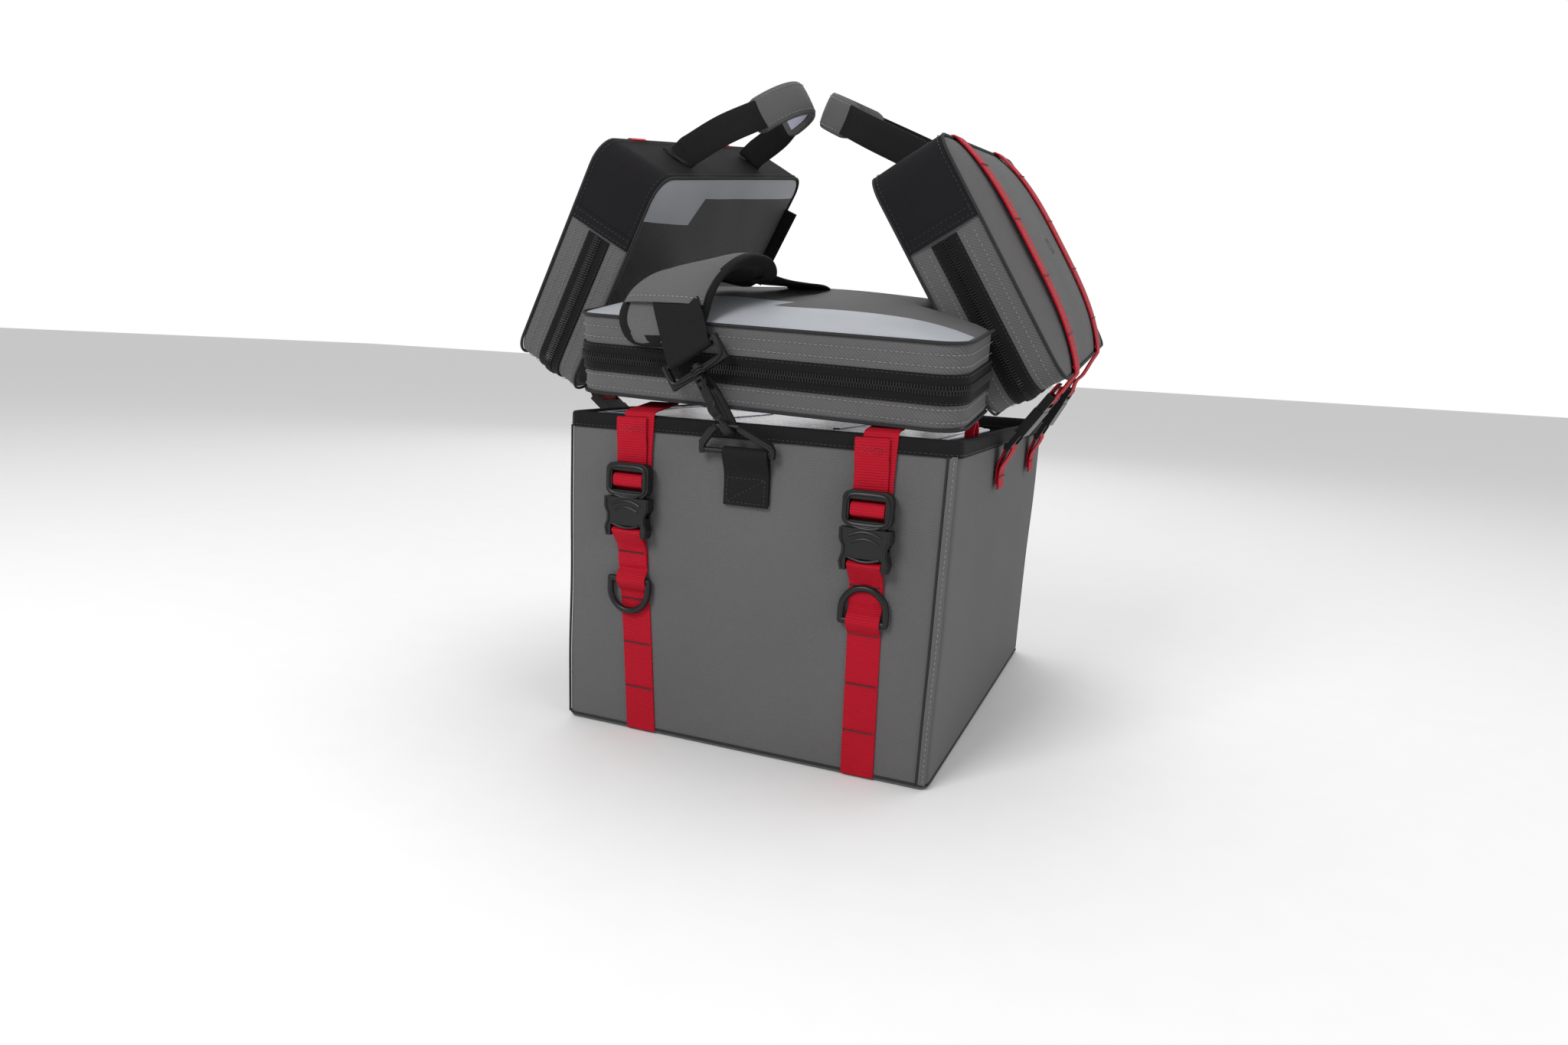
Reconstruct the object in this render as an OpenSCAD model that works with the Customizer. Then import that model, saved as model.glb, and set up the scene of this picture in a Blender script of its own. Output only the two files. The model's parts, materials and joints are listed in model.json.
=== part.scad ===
// Soft tackle crate: an open-top fabric crate for utility boxes, a padded shoulder strap,
// one zip case tethered across the top, and two zip cases that swing on buckled straps at the sides.
// Origin at the middle of the crate's floor, on the ground. +X right, +Y back, +Z up.

/* [Crate] */
// Width across the front
crate_w = 310; // [308:1:312]
// Depth from front to back
crate_d = 400; // [398:1:402]
// Height to the top of the rim
crate_h = 250; // [248:1:251]
// Thickness of the padded walls
wall_t = 5; // [4:0.5:6]
// Height of the bound rim
binding_h = 12; // [10:1:14]

/* [Zip cases] */
// Length of each zip case
case_l = 304; // [300:1:306]
// Height of each zip case, from its base to its spine
case_h = 200; // [196:1:202]
// Thickness of each zip case at its gusset
case_t = 60; // [56:1:60]
// How far the outer face bulges when the case is full
outer_crown = 14; // [8:1:16]
// How far the inner face bulges
inner_crown = 4; // [2:1:5]
// Radius of the case's corners, seen from its face
case_r = 20; // [14:1:24]
// Depth of the black spine panel down each gusset
spine_drop = 66; // [60:1:68]

/* [Webbing and hardware] */
// Width of the red webbing
web_w = 25; // [24:0.5:25]
// Thickness of the webbing
web_t = 1.6; // [1.2:0.1:1.8]
// Width of the shoulder webbing
shoulder_web_w = 38; // [34:1:40]
// Width of the shoulder pad
pad_w = 70; // [60:1:72]
// Thickness of the shoulder pad
pad_t = 9; // [6:1:9]
// Radius of a buckle's bars
bar_r = 2; // [1.8:0.1:2]
// Rod radius of a D-ring
dring_rod_r = 2.5; // [2:0.1:2.5]

/* [Utility boxes] */
// Length of a utility box
box_l = 279; // [270:1:282]
// Width of a utility box
box_w = 184; // [176:1:186]
// Height of a utility box with its lid
box_h = 48.8; // [44:0.2:48.8]
// Number of utility boxes in the stack
box_count = 5; // [3:1:5]

/* [Hidden] */
$fn = 48;
GREY = [0.38, 0.38, 0.39];
BLACK = [0.06, 0.06, 0.07];
SPINE = [0.13, 0.12, 0.13];
RED = [0.72, 0.05, 0.12];
CLEAR = [0.80, 0.84, 0.88, 0.5];
LEFT = 0;
RIGHT = 1;
side_sign = [-1, 1];

// Crate
front_y = -crate_d / 2;
binding_t = 1.2;
floor_t = 5;

// Front straps: middle of each webbing, and how much lower the right buckle sits
front_strap_x = [-94, 95.5];
buckle_z = [157, 155];
buckle_y = front_y - 9;
buckle_t = 8.5;
female_h = 30;
male_h = 26;
socket_clear = 0.4;
dring_y = front_y - 4.6;
dring_z = [122, 117];
dring_r = 16.5;
dring_leg = 8;

// Shoulder strap fittings: ring bar, ring top bar and hook lean
tab_w = 36;
ring_x = -7;
ring_y = front_y - 6.5;
ring_z = 229;
ring_tilt = 20;
ring_rise = 19.6;
ring_top_x = -12;
hook_lean = 33;
hook_gap_r = 5;
hook_rod_r = 1.75;
hook_bow_z = 1.6;
hook_shoulder_z = 32;
hook_neck_z = 40;
gate_pivot_z = 35;
barrel_z = 42;
barrel_h = 6;
loop_top_z = 60;
loop_bar_r = 2;
loop_half_w = 25;
pin_clear = 0.05;

// Side cases: middle, pitch about X and lean about Y, for left and right
case_mid = [[-182, 7, 385], [130, 31, 381]];
case_pitch = [10, 7];
case_lean = [30, -31];
strap_v = [-95, 70];
hinge_x = 163.5;
hinge_z = [222, 238];
hinge_gap = [38, 8];

// Centre case: middle of its lower front edge, tilt about X and roll about Y
centre_edge = [0, -195, 259];
centre_tilt = 9;
centre_roll = 1.8;
centre_gap = 3;

// Case handles: reach from the hinge and lean from the spine's normal, left, right and centre
handle_reach = [102, 121.5, 110];
handle_lean = [31, 35, 35];
handle_start = 10;
handle_bend_r = 34;
handle_hinge_w = case_h / 2 + 2.5;
grip_t = 7;
grip_w = 30;

zip_w = 26;
zip_t = 1;
coil_w = 5;
coil_t = 1.6;
slider_w0 = -52;
slider_len = 14;
slider_t = 4;
pull_len = 26;

// Shoulder strap: points [x, y, z, yaw of the width, roll of the width]
front_web_path = [
    [-46.8, -213.6, 301.5, 0, 33], [-49.5, -214.6, 310, 0, 24], [-53, -215.3, 322, 0, 12],
    [-56.5, -215.6, 334, 0, 3], [-58.5, -215.2, 342, 0, 0]];
pad_path = [
    [-74, -207.9, 302, 0, 2], [-73, -209.3, 314, 0, 0], [-70, -209.6, 328, 0, 0],
    [-66, -206.6, 341.5, -6, 0], [-59, -199, 353.5, -14, 0], [-49, -187, 362.5, -22, 0],
    [-36, -171, 368, -29, 0], [-23, -153, 369.5, -34, 0], [-10, -135, 368, -36, 0],
    [2, -118, 364.5, -36, 0]];
rear_web_path = [
    [3.5, -116, 363, -36, 0], [2, -100, 357, -20, 0], [-8, -78, 354.5, 5, 0],
    [-24, -50, 356, 22, 0], [-37, -20, 357.5, 18, 0], [-44, 10, 357, 8, 0],
    [-42, 45, 353.5, -8, 0], [-30, 85, 348, -22, 0], [-8, 125, 341, -28, 0],
    [16, 158, 332, -25, -6], [33, 184, 321, -16, -16], [42, 202, 311, -6, -26],
    [46.8, 213.6, 301.5, 0, -33]];

// ---------- shared shapes ----------

// Points of a band of thickness t that follows the 2-D path p.
function unit(v) = v / norm(v);
function tangent(p, i) = unit(p[min(i + 1, len(p) - 1)] - p[max(i - 1, 0)]);
function beside(p, i, t) = p[i] + [-tangent(p, i)[1], tangent(p, i)[0]] * t;
function band(p, t) = concat(
    [for (i = [0:len(p) - 1]) beside(p, i, t / 2)],
    [for (i = [len(p) - 1:-1:0]) beside(p, i, -t / 2)]);

module rounded_rect(w, h, r) {
    square([w - 2 * r, h], center = true);
    square([w, h - 2 * r], center = true);
    for (x = [-1, 1], y = [-1, 1])
        translate([x * (w / 2 - r), y * (h / 2 - r)]) circle(r);
}

// A bar along X.
module x_bar(r, length) {
    rotate([0, 90, 0]) cylinder(r = r, h = length, center = true);
}

// A sleeve of webbing around a bar along X.
module x_sleeve(inner, outer, length) {
    difference() {
        x_bar(outer, length);
        x_bar(inner, length + 1);
    }
}

// A flat profile in the YZ plane, extruded along X about the middle.
module x_extrude(length) {
    rotate([90, 0, 90]) linear_extrude(length, center = true) children();
}

// A flat profile in the XZ plane, extruded along Y about the middle.
module y_extrude(length) {
    rotate([90, 0, 0]) linear_extrude(length, center = true) children();
}

// A flat strap swept along path, whose rows are [x, y, z, yaw, roll].
function path_point(p, i) = [p[i][0], p[i][1], p[i][2]];
function side_dir(p, i) = [
    cos(p[i][3]) * cos(p[i][4]), sin(p[i][3]) * cos(p[i][4]), sin(p[i][4])];
function run_dir(p, i) =
    unit(path_point(p, min(i + 1, len(p) - 1)) - path_point(p, max(i - 1, 0)));
function face_dir(p, i) = unit(cross(side_dir(p, i), run_dir(p, i)));
function strap_ring(p, i, w, t) = [
    for (c = [[-1, -1], [1, -1], [1, 1], [-1, 1]])
        path_point(p, i) + side_dir(p, i) * c[0] * w / 2 + face_dir(p, i) * c[1] * t / 2];

module swept_strap(path, w, t) {
    n = len(path);
    points = [for (i = [0:n - 1]) each strap_ring(path, i, w, t)];
    sides = [for (i = [0:n - 2], k = [0:3])
        [4 * i + k, 4 * i + (k + 1) % 4, 4 * (i + 1) + (k + 1) % 4, 4 * (i + 1) + k]];
    first = [0, 3, 2, 1];
    last = [4 * n - 4, 4 * n - 3, 4 * n - 2, 4 * n - 1];
    triangles = [for (f = concat(sides, [first, last])) each [[f[0], f[2], f[1]], [f[0], f[3], f[2]]]];
    polyhedron(points, triangles);
}

// ---------- crate ----------

module wall_panel(w, x, y) {
    translate([x, y, (crate_h - binding_t) / 2])
        cube([w[0], w[1], crate_h - binding_t], center = true);
}

module front_wall() {
    color(GREY) wall_panel([crate_w, wall_t], 0, front_y + wall_t / 2);
}

module back_wall() {
    color(GREY) wall_panel([crate_w, wall_t], 0, -front_y - wall_t / 2);
}

module end_wall(side) {
    wall_panel([wall_t, crate_d - 2 * wall_t], side_sign[side] * (crate_w - wall_t) / 2, 0);
}

module left_wall() {
    color(GREY) end_wall(LEFT);
}

module right_wall() {
    color(GREY) end_wall(RIGHT);
}

module floor_panel() {
    color(GREY) translate([0, 0, floor_t / 2])
        cube([crate_w - 2 * wall_t, crate_d - 2 * wall_t, floor_t], center = true);
}

// U-shaped binding over the top edges of the four walls.
module rim_binding() {
    color(BLACK) translate([0, 0, crate_h - binding_h]) difference() {
        linear_extrude(binding_h) difference() {
            square([crate_w + 2 * binding_t, crate_d + 2 * binding_t], center = true);
            square([crate_w - 2 * (wall_t + binding_t), crate_d - 2 * (wall_t + binding_t)],
                   center = true);
        }
        translate([0, 0, -1]) linear_extrude(binding_h - binding_t + 1) difference() {
            square([crate_w, crate_d], center = true);
            square([crate_w - 2 * wall_t, crate_d - 2 * wall_t], center = true);
        }
    }
}

// Webbing loops at the rim that hold the link buckles' lower bars.
module rim_loop(side, y) {
    sx = side_sign[side];
    sleeve_r = bar_r + pin_clear;
    wall_x = crate_w / 2;
    translate([0, y, 0]) {
        difference() {
            union() {
                translate([sx * hinge_x, 0, hinge_z[side]]) rotate([90, 0, 0])
                    cylinder(r = bar_r + web_t, h = web_w - 1, center = true);
                translate([sx * (wall_x + hinge_x) / 2, 0, hinge_z[side] - bar_r - web_t / 2])
                    cube([hinge_x - wall_x, web_w - 1, web_t], center = true);
                translate([sx * (wall_x + web_t / 2), 0, hinge_z[side] - bar_r - web_t - 8])
                    cube([web_t, web_w - 1, 18], center = true);
            }
            translate([sx * hinge_x, 0, hinge_z[side]]) rotate([90, 0, 0])
                cylinder(r = sleeve_r, h = web_w + 1, center = true);
        }
    }
}

module rim_loops() {
    color(RED) for (side = [LEFT, RIGHT], v = strap_v) rim_loop(side, strap_end(side, v)[1]);
}

// ---------- front webbing and buckles ----------

module daisy_webbing(side) {
    top_z = buckle_z[side] + 10;
    translate([front_strap_x[side], 0, 0]) difference() {
        union() {
            translate([0, front_y - web_t / 2, top_z / 2 + 1])
                cube([web_w, web_t, top_z - 2], center = true);
            translate([0, dring_y, dring_z[side]]) x_bar(dring_rod_r + web_t, web_w);
            translate([0, buckle_y, buckle_z[side] + 3.5]) x_bar(bar_r + web_t, web_w);
            translate([0, (buckle_y + front_y) / 2, buckle_z[side] + 3.5 - bar_r - web_t / 2])
                cube([web_w, front_y - buckle_y, web_t], center = true);
        }
        translate([0, dring_y, dring_z[side]]) x_bar(dring_rod_r + pin_clear, web_w + 1);
        translate([0, buckle_y, buckle_z[side] + 3.5]) x_bar(bar_r + pin_clear, web_w + 1);
        translate([0, front_y + 5, dring_z[side]]) cube([web_w + 1, 10, 60], center = true);
    }
}

module daisy_webbing_left() {
    color(RED) daisy_webbing(LEFT);
}

module daisy_webbing_right() {
    color(RED) daisy_webbing(RIGHT);
}

// A D-ring with its straight bar on X and its curve towards way (+1 up, -1 down).
module dring(side, way) {
    translate([front_strap_x[side], dring_y, dring_z[side]]) {
        x_bar(dring_rod_r, 2 * dring_r);
        for (x = [-1, 1]) {
            translate([x * dring_r, 0, 0]) sphere(dring_rod_r);
            translate([x * dring_r, 0, way * dring_leg / 2])
                cylinder(r = dring_rod_r, h = dring_leg, center = true);
        }
        translate([0, 0, way * dring_leg]) rotate([way * 90, 0, 0])
            rotate_extrude(angle = 180) translate([dring_r, 0]) circle(dring_rod_r);
    }
}

module dring_left() {
    color(BLACK) dring(LEFT, -1);
}

module dring_right() {
    color(BLACK) dring(RIGHT, 1);
}

// The socket half: an hourglass body, a socket for the prongs and a bar for the webbing.
module buckle_female() {
    outline = [
        [-17, 0], [17, 0], [18.5, 6], [16.5, 12], [16.5, 17], [19, 22], [19, female_h],
        [-19, female_h], [-19, 22], [-16.5, 17], [-16.5, 12], [-18.5, 6]];
    difference() {
        y_extrude(buckle_t) polygon(outline);
        translate([0, 0, 2.5]) cube([web_w + 1.2, buckle_t + 1, 13], center = true);
        translate([0, 0, female_h - 7]) cube([30, 5.4, 15.6], center = true);
        for (x = [-1, 1])
            translate([x * 17, 0, 17.5]) cube([9, 5.4, 4.6], center = true);
    }
    translate([0, 0, 3.5]) x_bar(bar_r, web_w + 4);
}

// The plug half: ladder frame with a bar for the strap, a guide tongue and two prongs.
module buckle_male() {
    window_w = web_w + 1.2;
    difference() {
        translate([0, 0, male_h / 2 + 0.5]) y_extrude(buckle_t - 1) rounded_rect(36, male_h - 1, 6);
        translate([0, 0, 12.6]) cube([window_w, buckle_t + 1, 15], center = true);
    }
    translate([0, 0, 12.6]) x_bar(bar_r, window_w + 2);
    translate([0, 0, -3.5]) cube([6, 4.4, 10], center = true);
    for (x = [-1, 1]) {
        translate([x * 11.6, 0, -5.5]) cube([4, 4.4, 14], center = true);
        translate([x * 11.6, 0, -12.4]) rotate([90, 0, 0])
            cylinder(r = 2.2, h = 4.4, center = true);
    }
}

module place_buckle(side, rise = 0) {
    translate([front_strap_x[side], buckle_y, buckle_z[side] + rise]) children();
}

module buckle_female_left() {
    color(BLACK) place_buckle(LEFT) buckle_female();
}

module buckle_female_right() {
    color(BLACK) place_buckle(RIGHT) buckle_female();
}

module buckle_male_left() {
    color(BLACK) place_buckle(LEFT, female_h + socket_clear) buckle_male();
}

module buckle_male_right() {
    color(BLACK) place_buckle(RIGHT, female_h + socket_clear) buckle_male();
}

// The turn of strap that rides on the plug half's bar.
module strap_wrap(side) {
    place_buckle(side, female_h + socket_clear + 12.6)
        x_sleeve(bar_r + pin_clear, bar_r + pin_clear + web_t, web_w);
}

module strap_wrap_left() {
    color(RED) strap_wrap(LEFT);
}

module strap_wrap_right() {
    color(RED) strap_wrap(RIGHT);
}

// The strap from behind the plug half, over the rim and under the centre case, with its
// free tail folded and stitched in front.
module tether_strap(side) {
    rear_y = front_y - binding_t - 0.3 - web_t / 2;
    tail_y = rear_y - web_t;
    low_z = buckle_z[side] + female_h + 4;
    rise = tan(centre_tilt);
    strap = [
        [rear_y, low_z], [rear_y, crate_h - 3], [rear_y + 0.4, crate_h + 0.6],
        [rear_y + 2.6, crate_h + 2.4], [front_y + 5, crate_h + 3.2], [front_y + 12, crate_h + 4],
        [front_y + 35, crate_h + 4 + 23 * rise]];
    translate([front_strap_x[side] + 2, 0, 0]) {
        x_extrude(web_w) polygon(band(strap, web_t - 0.1));
        translate([0, tail_y, (low_z + crate_h - 4) / 2])
            cube([web_w, web_t - 0.1, crate_h - 4 - low_z], center = true);
        translate([0, tail_y - web_t, crate_h - 9]) cube([web_w, web_t, 10], center = true);
    }
}

module tether_strap_left() {
    color(RED) tether_strap(LEFT);
}

module tether_strap_right() {
    color(RED) tether_strap(RIGHT);
}

// ---------- shoulder strap ----------

// Webbing tab sewn to the wall, with a sleeve around the ring's bar.
module strap_tab() {
    difference() {
        union() {
            translate([0, front_y - 1.4, ring_z - 22]) cube([tab_w, 2.8, 36], center = true);
            translate([0, ring_y, ring_z]) x_bar(bar_r + 2.2, tab_w);
            translate([0, (ring_y + front_y) / 2, ring_z - bar_r - 1.2])
                cube([tab_w, front_y - ring_y, 2], center = true);
        }
        translate([0, ring_y, ring_z]) x_bar(bar_r + pin_clear, tab_w + 1);
        translate([0, front_y + 5, ring_z]) cube([tab_w + 1, 10, 60], center = true);
    }
}

// Triangular ring: its lower bar turns in the tab, its short top bar takes the hook.
module strap_ring_body() {
    half = 27.5;
    arm_t = 3.6;
    top_dx = ring_top_x - ring_x;
    top_half = 8;
    translate([ring_x, ring_y, ring_z]) rotate([ring_tilt, 0, 0]) {
        x_bar(bar_r, 2 * half);
        for (x = [-1, 1])
            y_extrude(4) polygon(band(
                [[x * half, -2], [x * half, 6.5], [top_dx + x * (top_half + 6), ring_rise - 3],
                 [top_dx + x * top_half, ring_rise]], arm_t));
        translate([top_dx, 0, ring_rise]) x_bar(bar_r, 2 * top_half + 2);
    }
}

module front_tab() {
    color(BLACK) strap_tab();
}

module front_ring() {
    color(BLACK) strap_ring_body();
}

module rear_tab() {
    color(BLACK) rotate([0, 0, 180]) strap_tab();
}

module rear_ring() {
    color(BLACK) rotate([0, 0, 180]) strap_ring_body();
}

// Frame of the hook: its origin on the ring's top bar, Z along the shank.
module place_hook() {
    translate([ring_top_x, ring_y - ring_rise * sin(ring_tilt), ring_z + ring_rise * cos(ring_tilt)])
        rotate([0, -hook_lean, 0]) children();
}

module hook_body() {
    bow_r = hook_gap_r + hook_rod_r;
    translate([0, 0, hook_bow_z]) rotate([0, 90, 0]) rotate([0, 0, -90]) rotate_extrude(angle = 180)
        translate([bow_r, 0]) circle(hook_rod_r);
    translate([0, bow_r, hook_bow_z]) cylinder(r = hook_rod_r, h = hook_shoulder_z - hook_bow_z);
    translate([0, -bow_r, hook_bow_z]) cylinder(r = hook_rod_r, h = 3.4);
    difference() {
        translate([0, 0, (hook_shoulder_z + hook_neck_z) / 2 - 1])
            cube([6.4, 2 * bow_r + 3.5, hook_neck_z - hook_shoulder_z + 2], center = true);
        translate([0, -bow_r, gate_pivot_z - 2]) cube([4, 8, 10], center = true);
    }
    translate([0, -bow_r, gate_pivot_z]) x_bar(1, 6);
    translate([0, 0, hook_neck_z - 1]) cylinder(r = 2.4, h = barrel_z + barrel_h - hook_neck_z + 2);
    translate([0, 0, barrel_z + barrel_h + 0.5]) cylinder(r = 3.4, h = 2);
}

module gate_body() {
    bow_r = hook_gap_r + hook_rod_r;
    nose_z = hook_bow_z + 3.8;
    difference() {
        union() {
            translate([0, -bow_r, nose_z])
                cylinder(r = 1.6, h = gate_pivot_z - nose_z);
            translate([0, -bow_r, gate_pivot_z]) x_bar(2.2, 3.4);
            translate([0, -bow_r - 2, nose_z + 7]) x_bar(1.4, 3.2);
        }
        translate([0, -bow_r, gate_pivot_z]) x_bar(1.06, 8);
    }
}

// Rectangular webbing loop with the barrel that the hook's shank turns in.
module loop_body() {
    difference() {
        union() {
            translate([0, 0, barrel_z]) cylinder(r = 5, h = barrel_h);
            translate([0, 0, barrel_z + barrel_h / 2])
                cube([2 * loop_half_w, 4.4, barrel_h - 1], center = true);
            for (x = [-1, 1])
                translate([x * (loop_half_w - 2), 0, (barrel_z + loop_top_z) / 2 + 1.5])
                    cube([4, 4.4, loop_top_z - barrel_z + 1], center = true);
            translate([0, 0, loop_top_z]) x_bar(loop_bar_r, 2 * loop_half_w - 1);
        }
        translate([0, 0, barrel_z - 1]) cylinder(r = 2.4 + pin_clear, h = barrel_h + 2);
    }
}

module snap_hook() {
    color(BLACK) place_hook() hook_body();
}

module hook_gate() {
    color(BLACK) place_hook() gate_body();
}

module swivel_loop() {
    color(BLACK) place_hook() loop_body();
}

module rear_snap_hook() {
    color(BLACK) rotate([0, 0, 180]) place_hook() {
        hook_body();
        gate_body();
        loop_body();
    }
}

module shoulder_webbing() {
    color(BLACK) {
        swept_strap(front_web_path, shoulder_web_w, 1.8);
        swept_strap(rear_web_path, shoulder_web_w, 1.8);
    }
}

module shoulder_pad() {
    color(GREY) swept_strap(pad_path, pad_w, pad_t);
}

// ---------- utility boxes ----------

module box_at(i) {
    translate([0, front_y + wall_t + 4 + box_w / 2, floor_t + i * box_h + 0.05 * i]) children();
}

module box_trays() {
    tray_h = box_h - 9;
    color(CLEAR) for (i = [0:box_count - 1]) box_at(i) difference() {
        linear_extrude(tray_h) rounded_rect(box_l - 6, box_w - 6, 8);
        translate([0, 0, 2]) linear_extrude(tray_h) rounded_rect(box_l - 10, box_w - 10, 6);
    }
}

module box_lids() {
    color(CLEAR) for (i = [0:box_count - 1]) box_at(i) translate([0, 0, box_h - 9])
        linear_extrude(8.8) rounded_rect(box_l, box_w, 10);
}

// ---------- zip cases: u is thickness (outer face +), v is length, w is height ----------

module case_outline(grow, t) {
    x_extrude(t) rounded_rect(case_l + 2 * grow, case_h + 2 * grow, case_r + grow);
}

// Half of the case's section from u0 out to the crowned face.
function crown(w, rise) = rise * cos(90 * w / (case_h / 2));
function half_section(way, rise, from, lift = 0) = concat(
    [[way * from, -case_h / 2], [way * from, case_h / 2]],
    [for (w = [case_h / 2:-10:-case_h / 2]) [way * (case_t / 2 + crown(w, rise) + lift), w]]);

module half_shell(way, rise) {
    intersection() {
        y_extrude(case_l) polygon(half_section(way, rise, 0.2));
        case_outline(0, 2 * case_t);
    }
}

// The black panel over the spine and the top of each gusset.
module case_spine() {
    difference() {
        case_outline(1.2, case_t);
        case_outline(0, case_t + 1);
        translate([0, 0, -spine_drop]) cube([case_t + 2, case_l + 20, case_h], center = true);
    }
}

module case_zip() {
    difference() {
        union() {
            case_outline(zip_t, zip_w);
            case_outline(zip_t + coil_t, coil_w);
        }
        case_outline(0, case_t);
        translate([0, 0, case_h - spine_drop - 0.3]) cube([case_t, case_l + 20, case_h], center = true);
    }
}

// Slider on the gusset at the end way (+1 or -1) of the case.
module case_slider(way) {
    base = case_l / 2 + zip_t + coil_t + 0.4;
    translate([0, way * (base + slider_t / 2), slider_w0]) {
        difference() {
            cube([12, slider_t, slider_len], center = true);
            translate([0, way * slider_t / 2, slider_len / 4])
                cube([9, 3.2, 5], center = true);
        }
        translate([0, way * (slider_t / 2 + 0.6), slider_len / 4]) x_bar(0.9, 12);
    }
}

module case_pull(way) {
    base = case_l / 2 + zip_t + coil_t + 0.4;
    translate([0, way * (base + slider_t + 0.6), slider_w0 + slider_len / 4]) {
        difference() {
            union() {
                x_bar(1.9, 8);
                translate([0, way * 0.7, -pull_len / 2]) cube([8, 1.8, pull_len], center = true);
            }
            x_bar(0.9 + pin_clear, 10);
        }
    }
}

// Handle path in its own plane: v along the case, s out from the hinge.
function handle_path(reach) = concat(
    [[-73, handle_start], [-64, 0.45 * reach]],
    [for (a = [165:-15:15]) [handle_bend_r * cos(a) - 4, reach - handle_bend_r * (1 - sin(a))]],
    [[55, 0.45 * reach], [64, handle_start]]);
function grip_path(reach) =
    [for (a = [180:-15:0]) [handle_bend_r * cos(a) - 4, reach - handle_bend_r * (1 - sin(a))]];

// Frame of a handle: 2-D x is v, 2-D y is s, leaning towards the inner face.
module handle_plane(lean) {
    translate([0, 0, handle_hinge_w]) rotate([0, -lean, 0]) rotate([90, 0, 90]) children();
}

module case_handle(which) {
    handle_plane(handle_lean[which]) linear_extrude(web_w, center = true)
        polygon(band(handle_path(handle_reach[which] - grip_t / 2), 2.4));
}

module case_grip(which) {
    reach = handle_reach[which] - grip_t / 2;
    handle_plane(handle_lean[which]) difference() {
        linear_extrude(grip_w, center = true) polygon(band(grip_path(reach), grip_t));
        linear_extrude(web_w, center = true) polygon(band(handle_path(reach), 2.4));
    }
}

// Red webbing down the outer face.
module case_strips() {
    difference() {
        intersection() {
            y_extrude(case_l) polygon(half_section(1, outer_crown, 5, web_t));
            for (v = strap_v) translate([case_t / 2, v, 0]) cube([case_t, web_w, case_h - 1], center = true);
        }
        y_extrude(case_l + 2) polygon(half_section(1, outer_crown, 0));
    }
}

module place_case(side) {
    translate(case_mid[side]) rotate([case_pitch[side], 0, 0]) rotate([0, case_lean[side], 0])
        mirror([side == LEFT ? 1 : 0, 0, 0]) children();
}

// Thickness goes up, length goes along X and the spine goes to the back.
module place_centre() {
    translate(centre_edge) rotate([centre_tilt, centre_roll, 0])
        multmatrix([[0, 1, 0, 0], [0, 0, 1, case_h / 2], [1, 0, 0, case_t / 2], [0, 0, 0, 1]])
            children();
}

// Room that the leaning right case presses into the centre case.
module right_case_room() {
    place_case(RIGHT) translate([outer_crown, 0, 0])
        cube([case_t + 2 * inner_crown + 2 * centre_gap + 2 * outer_crown,
              case_l + 2 * (centre_gap + zip_t + coil_t),
              case_h + 2 * centre_gap], center = true);
}

module centre_top_shell() {
    color(GREY) difference() {
        place_centre() half_shell(1, outer_crown);
        right_case_room();
    }
}

module centre_bottom_shell() {
    color(GREY) difference() {
        place_centre() half_shell(-1, inner_crown);
        right_case_room();
    }
}

module centre_spine() {
    color(SPINE) difference() {
        place_centre() case_spine();
        right_case_room();
    }
}

module centre_zip() {
    color(BLACK) difference() {
        place_centre() case_zip();
        right_case_room();
    }
}

module centre_handle() {
    color(BLACK) place_centre() {
        case_handle(2);
        case_grip(2);
    }
}

module centre_slider() {
    color(BLACK) place_centre() case_slider(-1);
}

module centre_pull() {
    color(BLACK) place_centre() case_pull(-1);
}

// ---------- link straps between the rim and the side cases ----------

// Where the strap at v meets the case's outer lower edge.
function turn_y(p, a) = [p[0] * cos(a) + p[2] * sin(a), p[1], p[2] * cos(a) - p[0] * sin(a)];
function turn_x(p, a) = [p[0], p[1] * cos(a) - p[2] * sin(a), p[1] * sin(a) + p[2] * cos(a)];
function strap_end(side, v) = case_mid[side] + turn_x(
    turn_y([side_sign[side] * case_t / 2, v, -case_h / 2], case_lean[side]), case_pitch[side]);
function strap_start(side, v) = [side_sign[side] * hinge_x, strap_end(side, v)[1], hinge_z[side]];

// Frame with Z along the strap from the rim hinge, X across the strap, Y out of its face.
module place_link(side, v) {
    a = strap_start(side, v);
    run = strap_end(side, v) - a;
    translate(a) rotate([0, atan2(run[0], run[2]), 0]) rotate([0, 0, 90]) children();
}

function link_length(side, v) = norm(strap_end(side, v) - strap_start(side, v));

// A mated buckle with a bar at each end.
module link_buckle() {
    half_w = 17;
    body_z0 = 14;
    mouth_z = 38;
    difference() {
        union() {
            translate([0, 0, (body_z0 + mouth_z) / 2])
                cube([2 * half_w, 8, mouth_z - body_z0], center = true);
            for (x = [-1, 1])
                translate([x * (web_w / 2 + 2.2), 0, body_z0 / 2]) cube([3.2, 4.4, body_z0 + 4], center = true);
        }
        translate([0, 0, mouth_z - 7]) cube([28, 4.6, 15], center = true);
    }
    x_bar(bar_r, web_w + 4);
    difference() {
        translate([0, 0, mouth_z + 0.3 + 7]) cube([2 * half_w - 2, 7, 14], center = true);
        translate([0, 0, mouth_z + 10]) cube([web_w + 1.2, 8, 11], center = true);
    }
    translate([0, 0, mouth_z + 9]) x_bar(bar_r, web_w + 4);
    for (x = [-1, 1]) translate([x * 11, 0, mouth_z - 5]) cube([4, 3.6, 11], center = true);
}

module link_buckles(side) {
    for (v = strap_v) place_link(side, v) link_buckle();
}

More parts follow.
